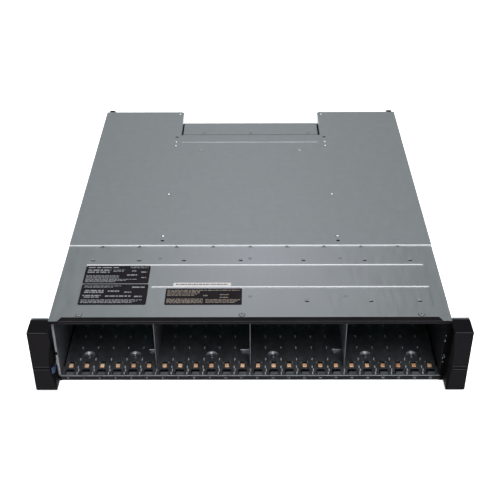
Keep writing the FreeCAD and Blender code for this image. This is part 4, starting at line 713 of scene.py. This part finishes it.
# %% Openings and controller marks
HOLE_HALF, HOLE_HEIGHTS = 2.4, (REAR_TOP - 1.7, REAR_TOP - 0.1)
HOLE_ROWS = ((150.3, 154.1), (422.6, 426.4))
GAP_LINE, GAP_HALF, GAP_DEPTHS, GAP_HEIGHTS = 101.5, 0.9, (431.0, 484.0), (79.0, 79.6)
NOTCH_HALF, LIP_DEPTHS, LIP_HEIGHTS = 100.0, (430.0, 431.2), (REAR_TOP, REAR_TOP + 0.6)
MARKS = (-70.0, 0.0, 87.0)
MARK_BACK = 452.0
shades = bmesh.new()
for side in SIDES:
    for depths in HOLE_ROWS:
        add_plate(shades, side * RIVET_LINE, HOLE_HALF, depths, HOLE_HEIGHTS)
    add_plate(shades, side * GAP_LINE, GAP_HALF, GAP_DEPTHS, GAP_HEIGHTS)
add_plate(shades, 0.0, NOTCH_HALF, LIP_DEPTHS, LIP_HEIGHTS)
finish_piece("opening_shades", shades, deep_black)
marks = bmesh.new()
for across in MARKS:
    add_stud(marks, at(across, MARK_BACK, top_of("upper_controller_case")), UP, radius=3.0, height=0.05)
finish_piece("controller_marks", marks, shade_and_mark_zinc, "upper_controller")

# %% [markdown]
# ## Bay numbers
# The black strip on the lower lip counts the bays in tiny pale figures. Text objects are the natural
# tool. They are made into meshes, stood upright and joined, so that the finished piece depends on
# neither a font nor its own turn.

# %% Bay numbers
FIGURE_SIZE = 0.0033
FIGURE_DEPTH = 0.00002
FIGURE_SHIFT = -1.2
FIGURE_HEIGHT = 4.1
strip_low, strip_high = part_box("bay_number_strip")
upright = Matrix.Rotation(math.radians(90), 4, "X")
figures = bmesh.new()
for bay in range(BAY_COUNT):
    curve = bpy.data.curves.new("figure", "FONT")
    curve.body = str(bay)
    curve.size = FIGURE_SIZE
    curve.align_x = "CENTER"
    curve.align_y = "CENTER"
    curve.extrude = FIGURE_DEPTH
    curve.resolution_u = 3
    holder = bpy.data.objects.new("figure", curve)
    scene.collection.objects.link(holder)
    bpy.context.view_layer.update()
    graph = bpy.context.evaluated_depsgraph_get()
    figure = bpy.data.meshes.new_from_object(holder.evaluated_get(graph))
    spot = at(bay_middle(bay) + FIGURE_SHIFT, 0, FIGURE_HEIGHT)
    spot.y = strip_low.y - FIGURE_DEPTH
    figure.transform(Matrix.Translation(spot) @ upright)
    figures.from_mesh(figure)
    bpy.data.objects.remove(holder)
finish_piece("bay_numbers", figures, pale_ink)

# %% [markdown]
# ## Dished recesses
# Each round recess of the cage floor holds the screw that ties the cage to the base. The screw gets a
# socket by insetting its top face and pushing the middle down. The rear wall of each dish faces the light
# and shows as a bright crescent in the dark bay: a small closed section, spun part of the way round.

# %% Cage screws and crescents
DISH_LINES = (-10.5, -7.5, -2.5, 1.5, 7.5, 10.5)
DISH_BACK = 32.7
DISH_DEPTH = 2.4
SOCKET_INSET, SOCKET_DEPTH = 0.9, 0.7
HEAD_AREA = 4e-6
CRESCENT = ((6.7, -0.05), (5.9, -1.1), (6.1, -1.2), (6.9, -0.05))
CRESCENT_START, CRESCENT_SWEEP = math.radians(25), math.radians(130)
CRESCENT_STEPS = 12
screws = bmesh.new()
for line in DISH_LINES:
    foot = at(BAY_PITCH * line, DISH_BACK, FLOOR_TOP - DISH_DEPTH)
    add_stud(screws, foot, UP, radius=2.4, height=1.4, rounding=0.5)
tops = [f for f in screws.faces if f.normal.z > ALIGNED and f.calc_area() > HEAD_AREA]
bmesh.ops.inset_individual(screws, faces=tops, thickness=SOCKET_INSET / METRE)
sunk = list({v for f in tops for v in f.verts})
bmesh.ops.translate(screws, vec=(0, 0, -SOCKET_DEPTH / METRE), verts=sunk)
finish_piece("cage_screws", screws, socket_zinc)
crescents = bmesh.new()
start = Matrix.Rotation(CRESCENT_START, 3, "Z")
for line in DISH_LINES:
    axis = at(BAY_PITCH * line, DISH_BACK, FLOOR_TOP)
    corners = []
    for radius, drop in CRESCENT:
        corners.append(crescents.verts.new(axis + start @ Vector((radius / METRE, 0, drop / METRE))))
    section = crescents.faces.new(corners)
    bmesh.ops.spin(crescents, geom=[section, *section.edges, *corners], cent=axis, axis=UP,
                   angle=CRESCENT_SWEEP, steps=CRESCENT_STEPS)
bmesh.ops.recalc_face_normals(crescents, faces=crescents.faces[:])
finish_piece("dish_crescents", crescents, soft_zinc)

# %% [markdown]
# ## Tabs and divider edges
# A small turned-up tab closes the square recess left of each divider and catches the light in the dark
# bay, so it is worth its few faces; its pale finish is a painted highlight. The cut front edges of the
# dividers are painted darker than their faces, a painted shade. A solid has one finish, so each edge gets
# a very thin darker skin.

# %% Recess tabs and divider edges
DIVIDER_LINES = (-6, 0, 6)
DIVIDER_HALF = 0.5
TAB_FAR, TAB_NEAR = 11.0, 0.6
EDGE_SKIN = 0.00005
tabs = bmesh.new()
for line in DIVIDER_LINES:
    edge = BAY_PITCH * line - DIVIDER_HALF
    low, high = at(edge - TAB_FAR, 41.4, FLOOR_TOP - 0.2), at(edge - TAB_NEAR, 42.2, FLOOR_TOP + 0.9)
    add_slab(tabs, low, high, rounding=0.2)
finish_piece("recess_tabs", tabs, painted_highlight_zinc)
divider_edge_shades = bmesh.new()
for node in DIVIDER_NODES:
    low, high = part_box(node)
    add_slab(divider_edge_shades, Vector((low.x, low.y - EDGE_SKIN, low.z)), Vector((high.x, low.y, high.z)))
finish_piece("divider_edge_shades", divider_edge_shades, dark_wall_painted_shade)

# %% [markdown]
# ## Ramps and stops of the bays
# In front of each bay slot a tongue of the floor is bent into a ramp, on which the drive's latch rides
# up. The cut round it shows as a black hook behind the ramp, and the latch hole has two small turned-up
# stops. A wedge is enough for the ramp, because only its slope faces the light, and its brighter zinc is
# a painted highlight. The cut is a black film of painted shade on the floor.

# %% Ramps, cuts and stops
CUT_FILM = 0.03
CUT_HEIGHTS = (FLOOR_TOP, FLOOR_TOP + CUT_FILM)
CUT_MIDDLE, CUT_HALF, CUT_DEPTHS = 0.1, 4.7, (3.3, 7.8)
SIDE_CUT, SIDE_CUT_HALF, SIDE_CUT_DEPTHS = -4.55, 0.65, (0.6, 5.0)
STOP_LINE, STOP_HALF, STOP_DEPTHS, STOP_HEIGHTS = 4.0, 0.6, (19.4, 20.6), (FLOOR_TOP, FLOOR_TOP + 0.6)
ramps = bmesh.new()
cuts = bmesh.new()
stops = bmesh.new()
for bay in range(BAY_COUNT):
    middle = bay_middle(bay)
    add_wedge(ramps, at(middle - 3.9, -1.2, FLOOR_TOP), at(middle + 4.4, 3.3, FLOOR_TOP + 0.3))
    add_plate(cuts, middle + CUT_MIDDLE, CUT_HALF, CUT_DEPTHS, CUT_HEIGHTS)
    add_plate(cuts, middle + SIDE_CUT, SIDE_CUT_HALF, SIDE_CUT_DEPTHS, CUT_HEIGHTS)
    for side in SIDES:
        add_plate(stops, middle + side * STOP_LINE, STOP_HALF, STOP_DEPTHS, STOP_HEIGHTS, rounding=0.2)
finish_piece("bay_ramps", ramps, ramp_painted_highlight)
finish_piece("ramp_cut_shades", cuts, deep_black)
finish_piece("latch_stops", stops, finishes["cage_steel"])

# %% [markdown]
# ## Lances of the cage floor
# Between the bays stand rows of guide lances, small wedges punched up out of the floor. The solids have
# them, and their tips catch the light as small glints. So each tip gets a paler wedge over it, a painted
# highlight, with only a few faces, because there are well over a hundred. A dark slit runs along each
# wall, where floor and wall are two sheets; a black film on the floor paints its shade.

# %% Lance tips and floor slits
LANCE_TIPS = ((0.3, -0.55), (5.6, 0.55), (10.9, -0.55), (24.3, 0.0), (44.7, 0.0), (65.1, 0.0), (85.5, 0.0))
LANCE_SIZE = Vector((0.0012, 0.0021, 0.0013))
SLIT_LINE, SLIT_HALF, SLIT_DEPTHS = 215.2, 0.75, (13.0, 120.0)
lances = bmesh.new()
for line in range(1 - BAY_COUNT // 2, BAY_COUNT // 2):
    if line not in DIVIDER_LINES:
        for row, offset in LANCE_TIPS:
            low = at(BAY_PITCH * line + offset - 0.6, row - 0.5, FLOOR_TOP)
            add_wedge(lances, low, low + LANCE_SIZE, thin=0.4)
finish_piece("lance_tip_glints", lances, soft_zinc)
slits = bmesh.new()
for side in SIDES:
    add_plate(slits, side * SLIT_LINE, SLIT_HALF, SLIT_DEPTHS, CUT_HEIGHTS)
finish_piece("floor_slit_shades", slits, deep_black)

# %% [markdown]
# ## Mouth of the cage
# The cage flares out to a flange at its mouth. On the left the flange faces the light, and pale strips
# paint its highlight along its whole height, apart from a notch. On the right it lies in the shade of the
# ear: black plates paint that shade, with a few painted glints in front. The lower lip has one thin line
# of light along its edge, a painted highlight. Thin plates and a rod are enough for all of them.

# %% Lip line, shades and glints of the mouth
PANEL_HALF = 0.2212
MOUTH_FOOT, MOUTH_HEAD = 6.7, 84.5
HIGHLIGHT_SPANS = ((7.5, 37.5), (42.0, 79.0), (81.0, 83.0))
GLINTS = ((217.0, 26, 1.4), (216.4, 31, 2.6), (218.4, 33, 1.6), (217.2, 36, 1.2), (216.4, 56, 3.0),
          (216.6, 64, 1.8))
GLINT_WIDTH = 0.7
lip = bmesh.new()
add_stud(lip, at(-216.5, -2.9, FLOOR_TOP - 0.1), RIGHTWARDS, radius=0.4, height=433.0, segments=8)
finish_piece("lip_line", lip, soft_zinc)
mouth_shades = bmesh.new()
for start, stop in ((-PANEL_HALF, strip_low.x), (strip_high.x, PANEL_HALF)):
    add_slab(mouth_shades, Vector((start, strip_low.y, strip_low.z - 0.0008)),
             Vector((stop, strip_high.y, strip_high.z)))
add_slab(mouth_shades, at(216.0, -2.3, MOUTH_FOOT), at(220.3, -2.1, MOUTH_HEAD))
add_slab(mouth_shades, at(220.15, -5.8, MOUTH_FOOT), at(220.3, -2.3, MOUTH_HEAD))
finish_piece("mouth_shades", mouth_shades, deep_black)
mouth = bmesh.new()
for foot, head in HIGHLIGHT_SPANS:
    add_slab(mouth, at(-219.5, -2.16, foot), at(-216.4, -2.1, head))
for across, height, length in GLINTS:
    add_slab(mouth, at(across, -2.36, height), at(across + GLINT_WIDTH, -2.3, height + length))
finish_piece("mouth_glints", mouth, soft_zinc)

# %% [markdown]
# ## The trim
# A black moulding covers the front edge of the cover. It is drawn slimmer than its solid, with slanted
# ends, and runs round the cover's corners. Its front rim catches a thin grey line of light. The rounding
# that causes it is too fine to show by itself, so a rod of greyer plastic lies along it, and a bright
# bead where the trim meets the sheet.

# %% Trim bar and its rims
TRIM_HALF, TRIM_REAR_HALF = 211.5, 207.5
CORNER_LINE, CORNER_HALF = 215.95, 5.45
trim_top = top_of("front_trim_strip")
trim = bmesh.new()
made = add_plate(trim, 0.0, TRIM_HALF, depths=(-4.5, 2.9), heights=(86.0, trim_top))
rear = [v for v in made if v.co.y > FLANGE_FACE]
bmesh.ops.scale(trim, vec=(TRIM_REAR_HALF / TRIM_HALF, 1, 1), verts=rear)
add_plate(trim, 0.0, TRIM_HALF, depths=(-5.85, -4.4), heights=(84.6, COVER_TOP + 0.2))
for side in SIDES:
    add_plate(trim, side * CORNER_LINE, CORNER_HALF, depths=(-5.8, -3.3), heights=(84.5, COVER_TOP + 0.06))
trim_bar = finish_piece("trim_bar", trim, finishes["trim_plastic"])
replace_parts(trim_bar, "front_trim_strip")
rim = bmesh.new()
add_stud(rim, at(-210.5, -4.4, trim_top - 0.2), RIGHTWARDS, radius=0.3, height=421.0, segments=8)
finish_piece("trim_rim", rim, rim_grey)
bead = bmesh.new()
add_plate(bead, 0.0, 206.0, depths=(2.9, 3.7), heights=(COVER_TOP, COVER_TOP + 0.3), rounding=0.1)
finish_piece("cover_bead", bead, finishes["fastener_steel"])

# %% [markdown]
# ## The ears
# The plastic ears have a rounded top rim and a level groove, whose two edges catch light above and below
# a dark band. Grey rods paint the highlights on the rim and on both edges, and a thin black slab paints
# the shade in the groove. The rods lie just inside the box of each ear, so that nothing stands out of it,
# and those of the groove stop where the inner bevel cuts the face. They ride on the ears, which pull off.

# %% Rims and grooves of the ears
EAR_ROUNDING = 0.0016
EAR_BEVEL = 0.0050
RIM_INSET = 0.00042
GROOVE_RIMS = ((0.0371, 0.00032, 0.3), (0.03275, 0.00036, 0.25))
GROOVE_BACK, GROOVE_SKIN = 0.0008, 0.00004
GROOVE_SHADE_FOOT, GROOVE_SHADE_HEAD = 0.0343, 0.0353
EARS = (("left_ear", EAR_ROUNDING, EAR_BEVEL), ("right_ear", EAR_BEVEL, EAR_ROUNDING))
for name, left_inset, right_inset in EARS:
    low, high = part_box(name + "_cover")
    left, right = low.x + left_inset, high.x - right_inset
    rims = bmesh.new()
    start = Vector((low.x + EAR_ROUNDING, low.y + RIM_INSET, high.z - RIM_INSET))
    length = high.x - low.x - 2 * EAR_ROUNDING
    add_stud(rims, start, RIGHTWARDS, radius=0.3, height=length * METRE, segments=8)
    for height, depth, radius in GROOVE_RIMS:
        start = Vector((left, low.y + depth, height))
        add_stud(rims, start, RIGHTWARDS, radius, height=(right - left) * METRE, segments=8)
    finish_piece(name + "_rims", rims, rim_grey, name)
    shade = bmesh.new()
    add_slab(shade, Vector((left, low.y + GROOVE_BACK - GROOVE_SKIN, GROOVE_SHADE_FOOT)),
             Vector((right, low.y + GROOVE_BACK, GROOVE_SHADE_HEAD)))
    finish_piece(name + "_groove_shade", shade, deep_black, name)

# %% [markdown]
# ## The rear: power supplies
# The photo does not show the rear, so these are the usual pieces of such modules: three pins in each
# mains inlet, the screws of the plate, a status light, the cap of the fan's hub and grip ridges on the
# latch. Each rides on its own module, fan or latch and goes with it when the module is pulled out.

# %% Details of the power supplies
SUPPLY_FACE = 503.0
INLET_LINE, INLET_HEIGHT = 123.7, 15.5
PINS = ((0.0, 3.0), (-6.5, -1.5), (6.5, -1.5))
PIN_HALF, PIN_RISE, PIN_DEPTHS = 1.0, 2.0, (487.0, 500.0)
PLATE_SCREWS = ((110.0, 80.5), (141.5, 80.5), (141.5, 6.0), (194.0, 6.0))
LIGHT_LINE, SWITCH_HEIGHT = 141.5, 66.7
FAN_LINE, FAN_HEIGHT, HUB_FACE = 173.3, 50.7, 497.6
RIDGE_DROP, RIDGE_PITCH, RIDGE, RIDGE_INSET = 0.0012, 0.0019, 0.0004, 0.001
for side, name in ((-1, "left_supply"), (1, "right_supply")):
    pins = bmesh.new()
    for across, height in PINS:
        heights = (INLET_HEIGHT + height - PIN_RISE, INLET_HEIGHT + height + PIN_RISE)
        add_plate(pins, side * INLET_LINE + across, PIN_HALF, PIN_DEPTHS, heights, rounding=0.4)
    finish_piece(name + "_pins", pins, finishes["port_steel"], name)
    heads = bmesh.new()
    for across, height in PLATE_SCREWS:
        foot = at(side * across, SUPPLY_FACE, height)
        add_stud(heads, foot, BACKWARDS, radius=1.8, height=0.8, rounding=0.4, segments=16)
    finish_piece(name + "_screws", heads, finishes["fastener_steel"], name)
    lens = bmesh.new()
    foot = at(side * LIGHT_LINE, SUPPLY_FACE, SWITCH_HEIGHT)
    add_stud(lens, foot, BACKWARDS, radius=1.6, height=0.6, rounding=0.3, segments=16)
    finish_piece(name + "_light", lens, pale_ink, name)
    fan = name.replace("supply", "fan")
    hub = bmesh.new()
    foot = at(side * FAN_LINE, HUB_FACE, FAN_HEIGHT)
    add_stud(hub, foot, BACKWARDS, radius=9.8, height=0.4, rounding=0.2, segments=32)
    finish_piece(fan + "_hub_cap", hub, rim_grey, fan)
    latch = name.replace("supply", "latch")
    low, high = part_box(name + "_latch")
    ridges = bmesh.new()
    for number in range(3):
        head = high.z - RIDGE_DROP - RIDGE_PITCH * number
        add_slab(ridges, Vector((low.x + RIDGE_INSET, high.y, head - RIDGE)),
                 Vector((high.x - RIDGE_INSET, high.y + RIDGE, head)), rounding=0.1)
    finish_piece(latch + "_ridges", ridges, finishes["latch_plastic"], latch)

# %% [markdown]
# ## The rear: switches
# A mains switch is marked with a bar for on and a ring for off. The face of a rocker is two slopes that
# meet in a ridge, and the whole rocker stands tilted. So each mark is made flat at the origin, the ring
# by spinning a small flat section all the way round, turned onto its slope, and both are then tilted and
# moved with the rocker.

# %% Marks of the rocker switches
ROCKER_TILT = math.radians(10.0)
ROCKER_RISE, ROCKER_HALF = 2.6, 8.0
ROCKER_SLOPE = math.atan2(ROCKER_RISE - ROCKER_RISE / 3, ROCKER_HALF)
ROCKER_RIDGE = 0.00087
RING_SECTION = ((0.0010, 0), (0.0016, 0), (0.0016, 0.00006), (0.0010, 0.00006))
RING_DROP = 0.0045
ORIGIN = (0, 0, 0)
for side, name in ((-1, "left_rocker"), (1, "right_rocker")):
    marks = bmesh.new()
    bar = add_slab(marks, Vector((-0.0004, 0, 0.0030)), Vector((0.0004, 0.00006, 0.0060)))
    bmesh.ops.rotate(marks, cent=ORIGIN, matrix=Matrix.Rotation(-ROCKER_SLOPE, 3, "X"), verts=bar)
    corners = [marks.verts.new((radius, out, 0)) for radius, out in RING_SECTION]
    loop = [marks.edges.new((corners[k - 1], corners[k])) for k in range(len(corners))]
    bmesh.ops.spin(marks, geom=corners + loop, cent=ORIGIN, axis=BACKWARDS, angle=math.radians(360),
                   steps=20, use_merge=True)
    bmesh.ops.remove_doubles(marks, verts=marks.verts[:], dist=1e-6)
    ring = [v for v in marks.verts if v not in bar]
    bmesh.ops.translate(marks, vec=(0, 0, -RING_DROP), verts=ring)
    bmesh.ops.rotate(marks, cent=ORIGIN, matrix=Matrix.Rotation(ROCKER_SLOPE, 3, "X"), verts=ring)
    bmesh.ops.recalc_face_normals(marks, faces=marks.faces[:])
    bmesh.ops.translate(marks, vec=(0, ROCKER_RIDGE, 0), verts=marks.verts[:])
    bmesh.ops.rotate(marks, cent=ORIGIN, matrix=Matrix.Rotation(ROCKER_TILT, 3, "X"), verts=marks.verts[:])
    bmesh.ops.translate(marks, vec=at(side * INLET_LINE, SUPPLY_FACE, SWITCH_HEIGHT), verts=marks.verts[:])
    finish_piece(name + "_marks", marks, pale_ink, name)

# %% [markdown]
# ## The rear: controllers
# Each controller has a contact tongue in both ports, three status lights, a row of air slots and two
# screws. The slots are black films on the plate, because behind a real slot of this size nothing could be
# seen. All ride on their controller.

# %% Details of the controllers
CONTROLLER_FACE = 485.0
CONTROLLERS = (("lower_controller", 19.75), ("upper_controller", 61.75))
PORTS = (-72.5, -38.5)
TONGUE_HALF, TONGUE_RISE, TONGUE_DEPTHS = 8.5, 0.8, (471.5, 482.0)
LIGHTS, LIGHT_RISE = (-16.0, -11.0, -6.0), 9.0
SLOT_START, SLOT_PITCH, SLOT_HALF, SLOT_COUNT = -89.25, 8.0, 2.75, 9
SLOT_DEPTHS = (CONTROLLER_FACE, CONTROLLER_FACE + CUT_FILM)
THUMB_SCREWS, THUMB_DROP = (-95.0, 96.0), 13.0
for name, middle in CONTROLLERS:
    tongues = bmesh.new()
    heights = (middle - TONGUE_RISE, middle + TONGUE_RISE)
    for port in PORTS:
        add_plate(tongues, port, TONGUE_HALF, TONGUE_DEPTHS, heights, rounding=0.2)
    finish_piece(name + "_tongues", tongues, finishes["connector_plastic"], name)
    lights = bmesh.new()
    for across in LIGHTS:
        foot = at(across, CONTROLLER_FACE, middle + LIGHT_RISE)
        add_stud(lights, foot, BACKWARDS, radius=1.1, height=0.5, rounding=0.3, segments=16)
    finish_piece(name + "_lights", lights, pale_ink, name)
    slots = bmesh.new()
    for number in range(SLOT_COUNT):
        slot = SLOT_START + SLOT_PITCH * number
        add_plate(slots, slot, SLOT_HALF, SLOT_DEPTHS, heights=(middle + 11.0, middle + 13.0))
    finish_piece(name + "_vents", slots, deep_black, name)
    heads = bmesh.new()
    for across in THUMB_SCREWS:
        foot = at(across, CONTROLLER_FACE, middle - THUMB_DROP)
        add_stud(heads, foot, BACKWARDS, radius=2.2, height=1.2, rounding=0.5, segments=16)
    finish_piece(name + "_screws", heads, finishes["fastener_steel"], name)

# %% [markdown]
# ## The sides
# The side panels are riveted to the cage and to the base. The flush heads stand out by less than half a
# millimetre, but without them the long sides would look like cardboard.

# %% Side rivets
PANEL_FACE = 221.5
PANEL_COLUMNS = (26.0, 78.0, 132.0, 216.0, 300.0, 384.0, 468.0)
PANEL_ROWS = (11.0, 76.0)
heads = bmesh.new()
for side, axis in ((-1, LEFTWARDS), (1, RIGHTWARDS)):
    for back in PANEL_COLUMNS:
        for height in PANEL_ROWS:
            foot = at(side * PANEL_FACE, back, height)
            add_stud(heads, foot, axis, radius=1.8, height=0.4, rounding=0.2, segments=16)
finish_piece("side_rivets", heads, finishes["zinc_steel"])

# %% [markdown]
# ## Size and end
# The dressed object must stay inside the box of the solids.

# %% Size and finish
low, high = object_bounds()
print("visual box", [round(v, 4) for v in low], [round(v, 4) for v in high])
